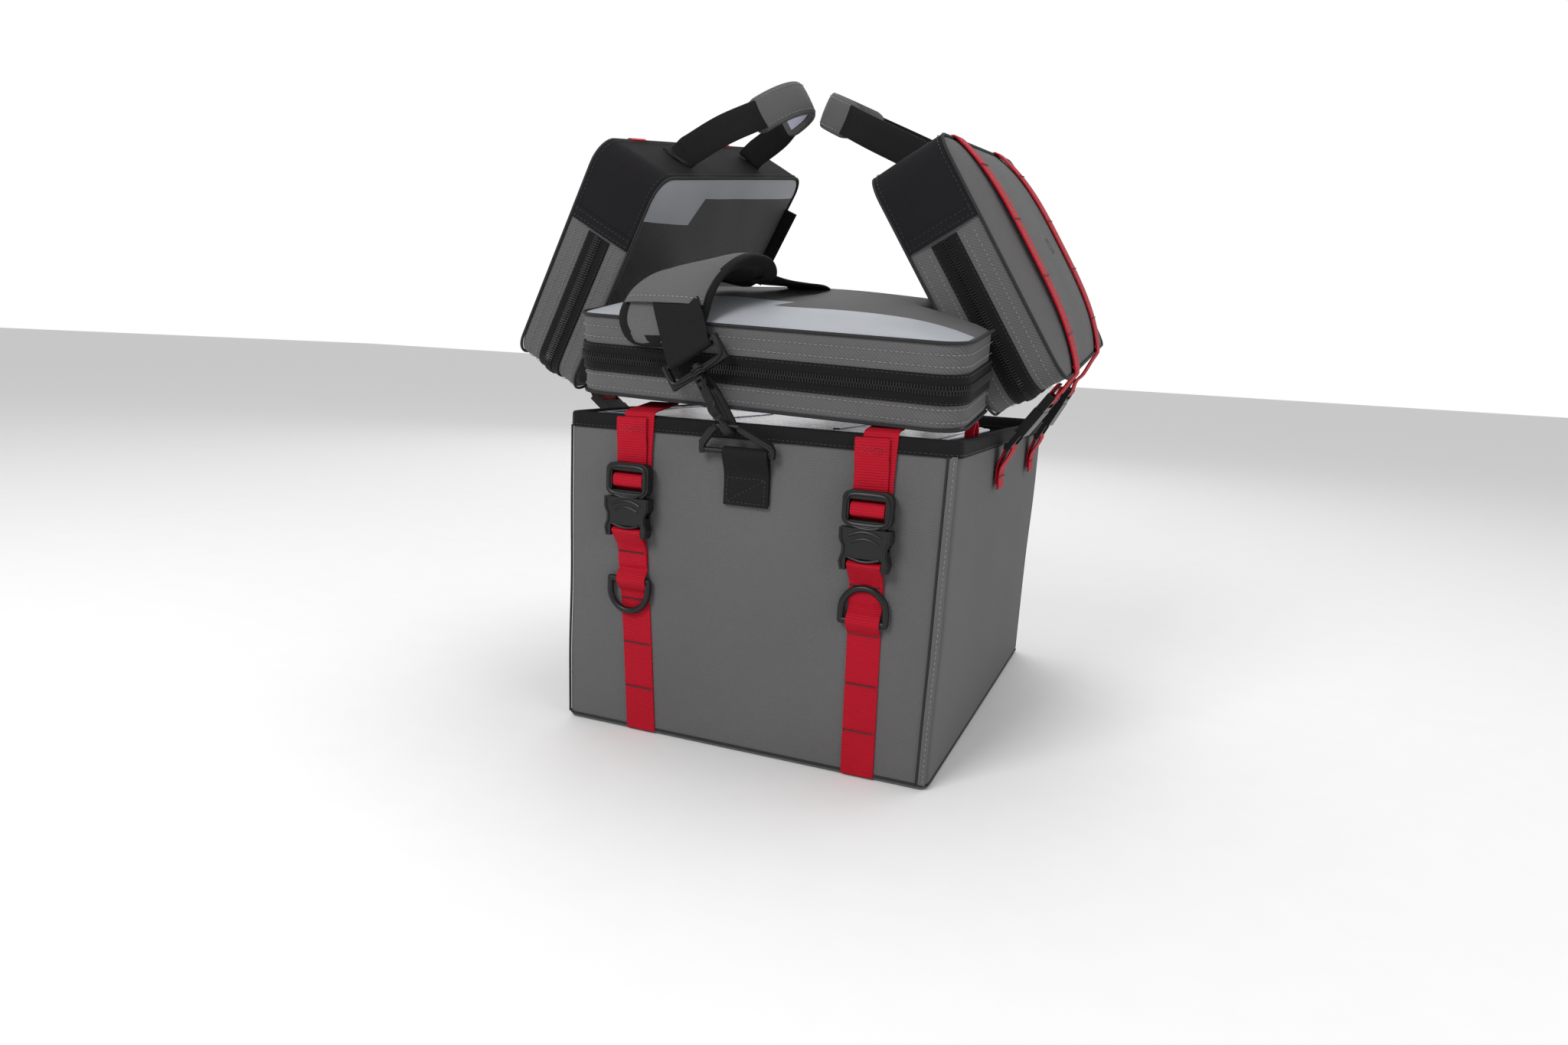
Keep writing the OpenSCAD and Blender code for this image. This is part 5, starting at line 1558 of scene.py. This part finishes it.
@dataclass
class ZipCase:
    """A padded zip case: stuffed shell, spine panel, zip, trims, handle and pulls.

    Its own axes are u, through its thickness with the outer face first, v, along it, and w, up to its spine.
    """

    side: Side
    length: float = 0.304
    height: float = 0.200
    thick: float = 0.060
    corner: float = 0.020
    outer_crown: float = 0.0135
    inner_crown: float = 0.0038
    spine_drop: float = 0.066
    strap_v: tuple[float, float] = (-0.095, 0.070)
    web_width: float = 0.025
    reaches: tuple[float, float, float] = (0.102, 0.1215, 0.110)
    leans: tuple[float, float, float] = (31, 35, 35)
    middles: tuple[tuple[float, float, float], ...] = ((-0.182, 0.007, 0.385), (0.130, 0.031, 0.381))
    pitches: tuple[float, float] = (10, 7)
    tilts: tuple[float, float] = (30, -31)
    hinge_x: float = 0.1635
    hinge_z: tuple[float, float] = (0.222, 0.238)
    edge: tuple[float, float, float] = (0, -0.195, 0.259)
    zip_u: float = -0.001
    cloth: Finish = SIDE_CASE_CLOTH

    @property
    def is_centre(self) -> bool:
        """True for the case that lies on top."""
        return self.side is Side.CENTRE

    @property
    def sign(self) -> float:
        """-1 for the left case, 1 for the others."""
        return -1.0 if self.side is Side.LEFT else 1.0

    @property
    def name(self) -> str:
        """Its short name, as the frame's nodes start."""
        return self.side.name.lower()

    @property
    def body(self) -> str:
        """The body that it rides on."""
        return "crate" if self.is_centre else f"{self.name}_case"

    @property
    def node_names(self) -> tuple[str, str]:
        """The frame's nodes for the shell halves, outer first."""
        ends = ("top_shell", "bottom_shell") if self.is_centre else ("outer_shell", "inner_shell")
        return tuple(f"{self.name}_{end}" for end in ends)

    def axes(self) -> tuple[Array, Array]:
        """Find the case's own frame.

        Returns:
            The matrix that takes (u, v, w) to the row frame, and its origin.
        """
        if self.is_centre:
            turn = turn_about("Y", 1.8) @ turn_about("X", 9.0)
            swap = np.array([[0, 1, 0], [0, 0, 1], [1, 0, 0]], float)
            return turn @ swap, np.array(self.edge) + turn @ [0, self.height / 2, self.thick / 2]
        k = self.side.value
        turn = turn_about("X", self.pitches[k]) @ turn_about("Y", self.tilts[k])
        return turn @ np.diag([self.sign, 1.0, 1.0]), np.array(self.middles[k])

    def place(self, points: Array) -> Array:
        """Places given as (u, v, w) moved to the row frame."""
        turn, origin = self.axes()
        return np.asarray(points) @ turn.T + origin

    def link_foot(self, v: float) -> Array:
        """Where the link strap at v hinges on the crate's rim."""
        return np.array([self.sign * self.hinge_x, self.link_end(v)[1], self.hinge_z[self.side.value]])

    def link_end(self, v: float) -> Array:
        """Where the link strap at v meets the case's outer lower edge."""
        return self.place(np.array([self.thick / 2, v, -self.height / 2]))

    def outline(self, grow: float, count: int = 360) -> tuple[Array, Array]:
        """The rounded outline from the top middle towards +v, at an even step.

        Args:
            grow: How far outside the shell it runs.
            count: How many points it has.

        Returns:
            Places (v, w) and outward directions.
        """
        corner = self.corner + grow
        half = np.array([self.length, self.height]) / 2 + grow - corner
        rows = [(0.0, half[1] + corner, 0.0, 1.0)]
        for sv, sw, start in ((1, 1, 90), (1, -1, 0), (-1, -1, -90), (-1, 1, -180)):
            for turn in np.radians(np.linspace(start, start - 90, 10)):
                way = np.array([math.cos(turn), math.sin(turn)])
                rows.append((*(half * (sv, sw) + corner * way), *way))
        rows.append(rows[0])
        rows = np.array(rows)
        length = length_of(rows[:, :2])
        at = np.linspace(0, length[-1], count, endpoint=False)
        fine = np.column_stack([np.interp(at, length, rows[:, k]) for k in range(4)])
        return fine[:, :2], unit(fine[:, 2:])

    def build(self) -> None:
        """Build the case's pieces and finish its sliders and pulls."""
        self.build_shell()
        self.build_piping()
        self.build_spine()
        self.build_zip()
        self.build_top_stitching()
        self.build_handle()
        if not self.is_centre:
            self.build_strips()
            self.build_rear_flap()
            self.build_links()
            ease_edges(FRAME["nodes"][f"{self.name}_link_buckles"], 0.6 * MM, BLACK_PLASTIC)
        for end in ("slider", "pull"):
            ease_edges(FRAME["nodes"][f"{self.name}_{end}"], 0.45 * MM, ZIP_METAL)

    # ----- shell -----

    def shell_grid(self) -> tuple[Array, list[tuple[int, ...]], Array]:
        """The stuffed shell before its cloth settles.

        Returns:
            Places (u, v, w), the faces, and 1 for each vertex on a seam.
        """
        ring, way = self.outline(0.0, 168)
        shares = np.r_[np.linspace(0, 0.9, 17), 0.94, 0.975, 1.0]
        verts, seam = [], []
        half = self.thick / 2
        for face, rise in ((-1, self.inner_crown), (1, self.outer_crown)):
            order = shares if face < 0 else shares[::-1]
            for s in order[1:] if face < 0 else order[:-1]:
                flat = ring * s
                x, y = flat[:, 0] / (self.length / 2), flat[:, 1] / (self.height / 2)
                bulge = rise * (1 - np.abs(x) ** 3.5).clip(0) * (1 - np.abs(y) ** 3.2).clip(0)
                verts.append(np.column_stack([face * (half + bulge - 0.8 * MM * (s > 0.99)), flat]))
                seam.append(np.full(len(ring), float(s > 0.99)))
            if face < 0:
                for u in np.linspace(-half, half, 13)[1:-1]:
                    pull = -0.6 * MM * math.cos(u / half * math.pi / 2)
                    verts.append(np.column_stack([np.full(len(ring), u), ring + way * pull]))
                    seam.append(np.zeros(len(ring)))
        rings = np.array(verts)
        count = rings.shape[1]
        tips = np.array([[-half - self.inner_crown, 0, 0], [half + self.outer_crown, 0, 0]])
        faces = ring_faces(len(rings), count, False)[:-2]
        last = len(rings) * count
        base = last - count
        faces += [(last, (k + 1) % count, k) for k in range(count)]
        faces += [(last + 1, base + k, base + (k + 1) % count) for k in range(count)]
        return np.vstack([rings.reshape(-1, 3), tips]), faces, np.r_[np.concatenate(seam), 0, 0]

    def build_shell(self) -> None:
        """Stuff the shell by letting its cloth swell against the seams, and keep it in its room."""
        places, faces, seam = self.shell_grid()
        obj = mesh_object(f"{self.name}_shell", places, faces)
        swollen = swell(obj, seam, 4.0, 8 * MM)
        drape = swollen - places
        drape[:, 0] = np.clip(drape[:, 0], -0.5 * MM, 2.6 * MM)
        moved = places + drape * self.gusset_share(places)[:, None]
        lumps = wave(places, 9.0, 21 + self.side.value) * 0.7 * MM
        faceward = np.clip((np.abs(places[:, 0]) - self.thick / 2) / (2 * MM), 0, 1)
        moved[:, 0] += np.sign(places[:, 0]) * lumps * faceward
        set_points(obj.data, PLACE, places)
        world = self.place(self.crease(moved, places))
        if self.is_centre:
            world = RIGHT_CASE.press_out(world)
        obj.data.vertices.foreach_set("co", world.astype(np.float32).ravel())
        set_box_lay(obj.data, places)
        obj.data.shade_smooth()
        obj.data.update()
        even = obj.modifiers.new("smooth", "SUBSURF")
        even.levels = even.render_levels = 1
        dress(obj, self.cloth, self.body, self.node_names)

    def gusset_share(self, places: Array) -> Array:
        """How freely each point may swell: little on the gusset, where the zip is sewn."""
        inside = np.clip((np.abs(places[:, 0]) - self.thick / 2 + 0.5 * MM) / MM, 0, 1)
        return 0.12 + 0.88 * inside

    def crease(self, moved: Array, places: Array) -> Array:
        """Press the creases that the centre case's cloth keeps near its lower corners.

        Args:
            moved: The swollen shell's places (u, v, w).
            places: The same places before it swelled.

        Returns:
            The creased places.
        """
        out = moved.copy()
        u, v, w = places.T
        if self.is_centre:
            for v0, slope, deep in ((0.118, 0.5, 1.3), (0.133, 0.35, 1.1), (0.102, 0.7, 0.8),
                                    (-0.128, -0.5, 0.9)):
                away = (v - v0) - slope * (u + 0.022)
                press = np.exp(-(away / 2.6e-3) ** 2) * np.exp(-((u + 0.021) / 8e-3) ** 2) * (w < -0.09)
                out[:, 2] += deep * MM * press
        return out

    def face_u(self, v: Array, w: Array, face: int = 1) -> Array:
        """How far out the shell's outer (1) or inner (-1) face lies at each (v, w)."""
        rise = self.outer_crown if face > 0 else self.inner_crown
        x, y = np.abs(v) / (self.length / 2), np.abs(w) / (self.height / 2)
        return face * (self.thick / 2 + rise * (1 - x ** 3.5).clip(0) * (1 - y ** 3.2).clip(0))

    def press_out(self, points: Array) -> Array:
        """Push another piece's points out of the room under this case's inner face.

        Args:
            points: The points, in the row frame.

        Returns:
            Where they end up.
        """
        turn, origin = self.axes()
        local = (points - origin) @ turn
        face = -self.thick / 2 - self.inner_crown - 3.2 * MM
        inside = (np.abs(local[:, 1]) < self.length / 2 + 5 * MM) & (local[:,
                                                                           2] > -self.height / 2 - 4 * MM)
        inside &= local[:, 0] > face
        deep = np.where(inside, local[:, 0] - face, 0.0)
        under = np.where(inside, local[:, 2] + self.height / 2 + 4 * MM, 0.0)
        side_first = deep < under
        local[:, 0] -= np.where(side_first, deep, 0.0)
        local[:, 2] -= np.where(side_first, 0.0, under)
        return local @ turn.T + origin

    def ride_piece(self, stock: Stock, name: str, finish: Finish, replaces: Iterable[str] = (),
                   soft: float = SOFT_EDGE) -> None:
        """Make a piece from (u, v, w) stock, put it in place and let it ride.

        Args:
            stock: The gathered shapes.
            name: The piece's name after the case's.
            finish: Its finish.
            replaces: The nodes that it stands for.
            soft: Edges flatter than this are shaded smooth.
        """
        stock.verts = [self.place(np.vstack(stock.verts))]
        if self.is_centre:
            stock.verts = [RIGHT_CASE.press_out(stock.verts[0])]
        dress(stock.piece(f"{self.name}_{name}", soft), finish, self.body, replaces)

    # ----- trims round the gusset -----

    def around(self, grow: float, u: float | Array, low: float = -1.0, high: float = 1.0) -> tuple[Array,
                                                                                                   Array]:
        """A line round the gusset.

        Args:
            grow: How far outside the shell it runs.
            u: Its place across the gusset.
            low: The lowest w that it keeps.
            high: The highest w that it keeps.

        Returns:
            Places (u, v, w) and outward directions, in one run.
        """
        ring, way = self.outline(grow, 720)
        keep = (ring[:, 1] > low) & (ring[:, 1] < high)
        if not keep.all():
            start = int(np.argmax(~keep & np.roll(keep, -1))) + 1
            ring, way, keep = (np.roll(k, -start, 0) for k in (ring, way, keep))
            ring, way = ring[keep], way[keep]
        line = np.column_stack([np.broadcast_to(u, len(ring)), ring])
        return line, np.column_stack([np.zeros(len(way)), way])

    def build_piping(self) -> None:
        """Bind both seams with covered cord, made dark with painted seam shade."""
        for side, face, radius in (("outer", 1, 1.25), ("inner", -1, 1.15)):
            line, _ = self.around(0.3 * MM, face * (self.thick / 2 - 0.3 * MM))
            stock = Stock()
            stock.tube_of(line, radius * MM, closed=True, up=(1, 0, 0))
            self.ride_piece(stock, f"piping_{side}", PAINTED_SHADE_PIPING)

    def build_spine(self) -> None:
        """Sew the dark panel over the spine and the top of both ends, with a doubled hem at each lower edge."""
        low = self.height / 2 - self.spine_drop + 0.3 * MM
        line, out = self.around(0.0, 0.0, low=low)
        across = np.linspace(-1, 1, 21) * (self.thick / 2 - 1.6 * MM)
        base = line[:, None] + [1, 0, 0] * across[None, :, None]
        swell = 1.1 * MM + 0.35 * MM * np.cos(across / self.thick * math.pi)[None, :, None]
        lumps = (wave(base.reshape(-1, 3), 14.0, 8).reshape(base.shape[:2]) * 0.18 * MM)[..., None]
        top = base + out[:, None] * (swell + lumps)
        lay = sheet_lay(length_of(line), across)
        stock = Stock()
        stock.slab(top, base + out[:, None] * 0.2 * MM, lay)
        hem = 9
        for end in (slice(0, hem), slice(-hem, None)):
            stock.slab(top[end] + out[end, None] * 0.55 * MM, top[end] - out[end, None] * 0.3 * MM,
                       lay[end])
        self.ride_piece(stock, "spine_cloth", SPINE_CLOTH, (f"{self.name}_spine",))
        sewing = Stock()
        for u in (-self.thick / 2 + 4 * MM, self.thick / 2 - 4 * MM):
            row = line + [u, 0, 0] + out * 1.5 * MM
            sewing.stitches(row, out, 2.4 * MM, 1.3 * MM, 0.3 * MM)
        for k in (2, 6, len(line) - 7, len(line) - 3):
            row = top[k] + out[k] * 0.75 * MM
            sewing.stitches(row, out[k], 2.4 * MM, 1.3 * MM, 0.3 * MM)
        self.ride_piece(sewing, "spine_stitching", BLACK_THREAD)

    def build_zip(self) -> None:
        """Two tapes with a coil between them, round the lower part of the gusset."""
        high = self.height / 2 - self.spine_drop - 0.3 * MM
        line, out = self.around(0.0, self.zip_u, high=high)
        across = np.array([-10.6, -10.3, -7.5, -4.2, -3.4, 0, 3.4, 4.2, 7.5, 10.3, 10.6]) * MM
        lift = np.array([0.2, 0.85, 0.9, 1.0, 1.1, 1.1, 1.1, 1.0, 0.9, 0.85, 0.2]) * MM
        base = line[:, None] + [1, 0, 0] * across[None, :, None]
        top = base + out[:, None] * lift[None, :, None]
        lay = sheet_lay(length_of(line), across)
        tape = Stock()
        tape.slab(top, base - out[:, None] * 0.3 * MM, lay)
        self.ride_piece(tape, "zip_tapes", ZIP_TAPE, (f"{self.name}_zip",))
        coil = Stock()
        pitch = 2.1 * MM
        fine = even_line(np.hstack([line, out]), pitch / 2)
        for k, row in enumerate(fine[1:-1]):
            spot, over = row[:3], unit(row[3:6])
            run = unit(fine[k + 2, :3] - fine[k, :3])
            side = 1.0 if k % 2 else -1.0
            start = spot + over * 1.95 * MM + [side * -0.4 * MM, 0, 0]
            end = spot + over * 1.7 * MM + [side * 3.3 * MM, 0, 0]
            rise, half = over * 0.62 * MM, run * 0.62 * MM
            corners = [start + half * 1.15, start + rise, start - half * 1.15, start - rise,
                       end + half, end + rise * 0.8, end - half, end - rise]
            coil.add(np.array(corners), ring_faces(2, 4, False))
        self.ride_piece(coil, "zip_coils", ZIP_COIL, (), 20.0)

    def build_top_stitching(self) -> None:
        """Rows of stitches on the gusset on both sides of the zip."""
        high = self.height / 2 - self.spine_drop - 2 * MM
        stock = Stock()
        for u in (-24.5, -15.5, 13.5, 21.5):
            line, out = self.around(0.1 * MM, u * MM, high=high)
            stock.stitches(line, out, 2.5 * MM, 1.4 * MM, 0.3 * MM)
        self.ride_piece(stock, "gusset_stitching", GREY_THREAD)
        tape = Stock()
        for u in (-9.2, 9.2):
            line, out = self.around(0.85 * MM, u * MM + self.zip_u, high=high)
            tape.stitches(line, out, 2.2 * MM, 1.3 * MM, 0.26 * MM)
        self.ride_piece(tape, "zip_stitching", BLACK_THREAD)

    # ----- red strips, flap, handle and links -----

    def build_strips(self) -> None:
        """Red webbing down the outer face, over the piping and onto the gusset."""
        stock, tacks = Stock(), Stock()
        for v in self.strap_v:
            w = np.linspace(self.height / 2 - 1.5 * MM, -self.height / 2 + 1.5 * MM, 60)
            u = self.face_u(np.full(60, v), w) + 2.4 * MM
            line = np.column_stack([u, np.full(60, v), w])
            ends = [np.array([(self.thick / 2 - 2.4 * MM, v, way * (self.height / 2 + 1.5 * MM)),
                              (self.thick / 2 + 1.0 * MM, v, way * (self.height / 2 + 1.2 * MM))])
                    for way in (1, -1)]
            line = smooth_line(np.vstack([ends[0], line, ends[1][::-1]]), RIB_STEP)
            stock.strap(line, (0, 1, 0), self.web_width, RED_THICK, RED_RIB)
            for w0 in (0.072, 0.024, -0.024, -0.072):
                across = np.array([[self.face_u(np.array(v), np.array(w0)) + 3.4 * MM, v, w0]]) + (
                    np.linspace(-0.48, 0.48, 12)[:, None] * [0, self.web_width, 0])
                tacks.stitches(across, (1, 0, 0), 1.25 * MM, 0.12 * MM, 0.5 * MM)
        self.ride_piece(stock, "strip_cloth", RED_WEBBING, (f"{self.name}_strips",))
        self.ride_piece(tacks, "strip_tacks", TACK_THREAD)

    def build_rear_flap(self) -> None:
        """Ribbed black binding that joins the inner face to the gusset at the rear end."""
        w = np.linspace(-0.020, 0.065, 60)
        end = self.length / 2
        stand = np.full(60, 5.2) if self.side is Side.LEFT else np.linspace(2.0, 15.0, 60)
        line = np.column_stack([-self.thick / 2 - stand * MM, np.full(60, end - 1.5 * MM), w])
        sides = unit(np.array([-0.88, 0.45, 0.0]))
        stock = Stock()
        stock.strap(even_line(line, RIB_STEP), sides, 14 * MM, 3.0 * MM, 0.10)
        self.ride_piece(stock, "rear_flap", BLACK_WEBBING)

    def handle_frame(self, path: Array, half: float) -> tuple[Array, Array]:
        """Stand a handle's path up on the spine.

        Args:
            path: Rows of v and distance from the hinge.
            half: Length of the direction that is given back.

        Returns:
            The path as places (u, v, w), and the direction of its width.
        """
        lean = math.radians(self.leans[self.side.value])
        hinge = self.height / 2 + 2.5 * MM
        line = np.column_stack([-path[:, 1] * math.sin(lean), path[:, 0],
                                hinge + path[:, 1] * math.cos(lean)])
        across = np.array([math.cos(lean), 0.0, math.sin(lean)])
        return line, across * half

    def build_handle(self) -> None:
        """Webbing legs sewn to the spine, and a padded grip with a pale lining strip on its underside."""
        reach = self.reaches[self.side.value] - 3.5 * MM
        bend = 34 * MM
        arc = np.radians(np.linspace(165, 15, 16))
        path = np.vstack([[(-73 * MM, 10 * MM), (-64 * MM, 0.45 * reach)],
                          np.column_stack([bend * np.cos(arc) - 4 * MM, reach - bend * (1 - np.sin(arc))]),
                          [(55 * MM, 0.45 * reach), (64 * MM, 10 * MM)]])
        fine = smooth_line(np.column_stack([path, np.zeros(len(path))]), 0.55 * MM)[:, :2]
        line, across = self.handle_frame(fine, 1.0)
        body = f"{self.name}_handle"
        feet = []
        for way in (0, -1):
            tip, inward = line[way], unit(line[way] - line[way + (2 if way == 0 else -2)])
            sew = tip + np.array([0, (-1 if way == 0 else 1) * 9 * MM, 0])
            sew[0], sew[2] = 0.0, self.height / 2 + 2.2 * MM
            mid = tip + inward * 5 * MM
            mid[2] = self.height / 2 + 4.2 * MM
            feet.append(np.vstack([sew, mid]))
        whole = smooth_line(np.vstack([feet[0], line[::8], feet[1][::-1]]), 0.5 * MM)
        lift = np.clip((whole[:, 2] - self.height / 2) / (12 * MM), 0, 1)[:, None]
        sides = unit(across * lift + np.array([1.0, 0, 0]) * (1 - lift))
        stock = Stock()
        stock.strap(whole, sides, self.web_width, 2.0 * MM, BLACK_RIB, BLACK_ROW)
        nodes = (body,) if self.is_centre else (body, f"{self.name}_grip")
        self.finish_handle_piece(stock, "handle_webbing", BLACK_WEBBING, body, nodes)
        turn = np.radians(np.linspace(186, -6, 60))
        grip = np.column_stack([bend * np.cos(turn) - 4 * MM, reach - bend * (1 - np.sin(turn))])
        middle, across = self.handle_frame(grip, 1.0)
        out = unit(np.cross(across, run_of(middle)))
        if (out[len(out) // 2] @ self.handle_frame(np.array([[0, 1.0]]), 1.0)[0][0]) < 0:
            out = -out
        shape = np.linspace(0, 2 * math.pi, 28, endpoint=False)
        wide = np.sign(np.cos(shape)) * np.abs(np.cos(shape)) ** 0.75 * 15 * MM
        high = np.sign(np.sin(shape)) * np.abs(np.sin(shape)) ** 0.8 * 3.4 * MM
        taper = np.clip(np.minimum(np.arange(60), 59 - np.arange(60)) / 4.0, 0.0, 1.0) ** 0.5 * 0.22 + 0.78
        verts = (middle[:, None] + unit(across) * (wide[None] * taper[:, None])[..., None]
                 + out[:, None] * (high[None] * taper[:, None])[..., None])
        stock = Stock()
        stock.loft(verts, sheet_lay(length_of(middle), wide))
        self.finish_handle_piece(stock, "grip_cloth", GRIP_CLOTH, body, ())
        lining = Stock()
        inner = middle - out * 3.3 * MM
        lining.strap(inner[3:-3], across, 19 * MM, 0.9 * MM)
        self.finish_handle_piece(lining, "grip_lining", GRIP_LINING, body, ())
        sewing = Stock()
        for edge in (-11.5, 11.5):
            row = middle[2:-2] + unit(across) * edge * MM + out[2:-2] * 2.75 * MM
            sewing.stitches(row, out[2:-2], 2.3 * MM, 1.3 * MM, 0.3 * MM)
        self.finish_handle_piece(sewing, "grip_stitching", GREY_THREAD, body, ())
        tacks = Stock()
        for foot in feet:
            spot = foot[0] + [0, 0, 1.2 * MM]
            for shift in (-2.5, 2.5):
                row = spot + np.linspace(-0.45, 0.45, 12)[:, None] * [self.web_width, 0, 0] + [0,
                                                                                               shift * MM, 0]
                tacks.stitches(row, (0, 0, 1), 1.5 * MM, 0.3 * MM, 0.4 * MM)
        self.ride_piece(tacks, "handle_tacks", BLACK_THREAD)

    def finish_handle_piece(self, stock: Stock, name: str, finish: Finish, body: str,
                            replaces: Iterable[str]) -> None:
        """Put a handle piece in place; its webbing stays where it is made, on no body, and the other pieces
        ride on the handle.

        Args:
            stock: The gathered shapes.
            name: The piece's name after the case's.
            finish: Its finish.
            body: The handle's body.
            replaces: The nodes that it stands for.
        """
        stock.verts = [self.place(np.vstack(stock.verts))]
        obj = stock.piece(f"{self.name}_{name}", SOFT_EDGE)
        paint(obj, finish)
        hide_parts(*replaces)
        if name == "handle_webbing":
            self.body
            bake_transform(obj)
        else:
            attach(obj, body)
        log.info("%s: %d faces on %s", obj.name, len(obj.data.polygons), body)

    def build_links(self) -> None:
        """Red webbing from each link buckle up to the case's lower edge."""
        stock = Stock()
        starts, ends = [], []
        for v in self.strap_v:
            foot, end = self.link_foot(v), self.link_end(v)
            run = unit(end - foot)
            away = unit(np.cross([0.0, 1.0, 0.0], run)) * -self.sign
            away = away if away[0] * self.sign > 0 else -away
            bar = foot + run * 47 * MM
            tuck, hem = self.place([(self.thick / 2 + 1.4 * MM, v, -self.height / 2 - 1.2 * MM),
                                    (self.thick / 2 + 2.0 * MM, v, -self.height / 2 + 4 * MM)])
            fold = [bar + (run * along + away * off) * MM for along, off in (
                (15, -2.6), (6, -2.7), (0, -2.5), (-2.7, 0), (0, 2.5), (6, 2.2), (14, 0.6))]
            rows = [*fold, foot * 0.25 + end * 0.75 + away * 2.4 * MM,
                    foot * 0.1 + end * 0.9 + away * 2.0 * MM,
                    tuck, hem]
            stock.strap(smooth_line(rows, RIB_STEP), (0, 1, 0), self.web_width, RED_THICK, RED_RIB)
            starts.append(foot * 0.2 + end * 0.8)
            ends.append(end)
        obj = stock.piece(f"{self.name}_link_cloth", SOFT_EDGE)
        paint(obj, RED_WEBBING)
        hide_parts(f"{self.name}_link_webbing")
        start, end = np.mean(starts, 0), np.mean(ends, 0)
        f"{self.name}_link"
        self.body
        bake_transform(obj)
        log.info("%s: %d faces", obj.name, len(obj.data.polygons))


def swell(obj: bpy.types.Object, pinned: Array, pressure: float, cap: float) -> Array:
    """Let a closed shell of cloth swell from within, held at its seams.

    Args:
        obj: The shell.
        pinned: 1 for each vertex that is sewn down.
        pressure: The pressure inside.
        cap: The furthest that a point may move.

    Returns:
        Where its vertices come to rest.
    """
    start = np.zeros(len(obj.data.vertices) * 3, np.float32)
    obj.data.vertices.foreach_get("co", start)
    start = start.reshape(-1, 3).astype(float)
    group = obj.vertex_groups.new(name="seams")
    for weight in np.unique(pinned[pinned > 0]):
        group.add(np.flatnonzero(pinned == weight).tolist(), float(weight), "REPLACE")
    cloth = obj.modifiers.new("cloth", "CLOTH")
    settings = cloth.settings
    settings.effector_weights.gravity = 0.0
    settings.use_pressure, settings.uniform_pressure_force = True, pressure
    settings.vertex_group_mass = group.name
    settings.quality, settings.tension_stiffness, settings.bending_stiffness = 6, 25.0, 2.0
    cloth.point_cache.frame_start, cloth.point_cache.frame_end = 1, 20
    scene = bpy.context.scene
    for frame in range(1, 21):
        scene.frame_set(frame)
    settled = obj.evaluated_get(bpy.context.evaluated_depsgraph_get())
    end = np.zeros(len(start) * 3, np.float32)
    settled.data.vertices.foreach_get("co", end)
    obj.modifiers.remove(cloth)
    obj.vertex_groups.remove(group)
    scene.frame_set(1)
    move = end.reshape(-1, 3) - start
    far = np.linalg.norm(move, axis=1, keepdims=True)
    return start + move * np.minimum(1.0, cap / np.maximum(far, 1e-9))


LEFT_CASE = ZipCase(Side.LEFT)
RIGHT_CASE = ZipCase(Side.RIGHT)
CENTRE_CASE = ZipCase(Side.CENTRE, outer_crown=0.0165, zip_u=-0.002, cloth=CENTRE_CASE_CLOTH)
FRAME: dict[str, object] = {}


def main() -> None:
    """Load the frame and build every sub-assembly around it."""
    logging.basicConfig(level=logging.INFO, format="%(message)s")
    FRAME.update(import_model())
    Studio().build()
    crate = Crate()
    crate.build()
    FrontStrap("left", -0.094, -0.0815, 0.157, 0.122, (0.144, 0.107, 0.0715, 0.036), crate).build()
    FrontStrap("right", 0.0955, 0.098, 0.155, 0.117, (0.143, 0.107, 0.070, 0.035), crate).build()
    ShoulderStrap().build()
    UtilityBoxes().build()
    for case in (LEFT_CASE, RIGHT_CASE, CENTRE_CASE):
        case.build()


if __name__ == "__main__":
    main()
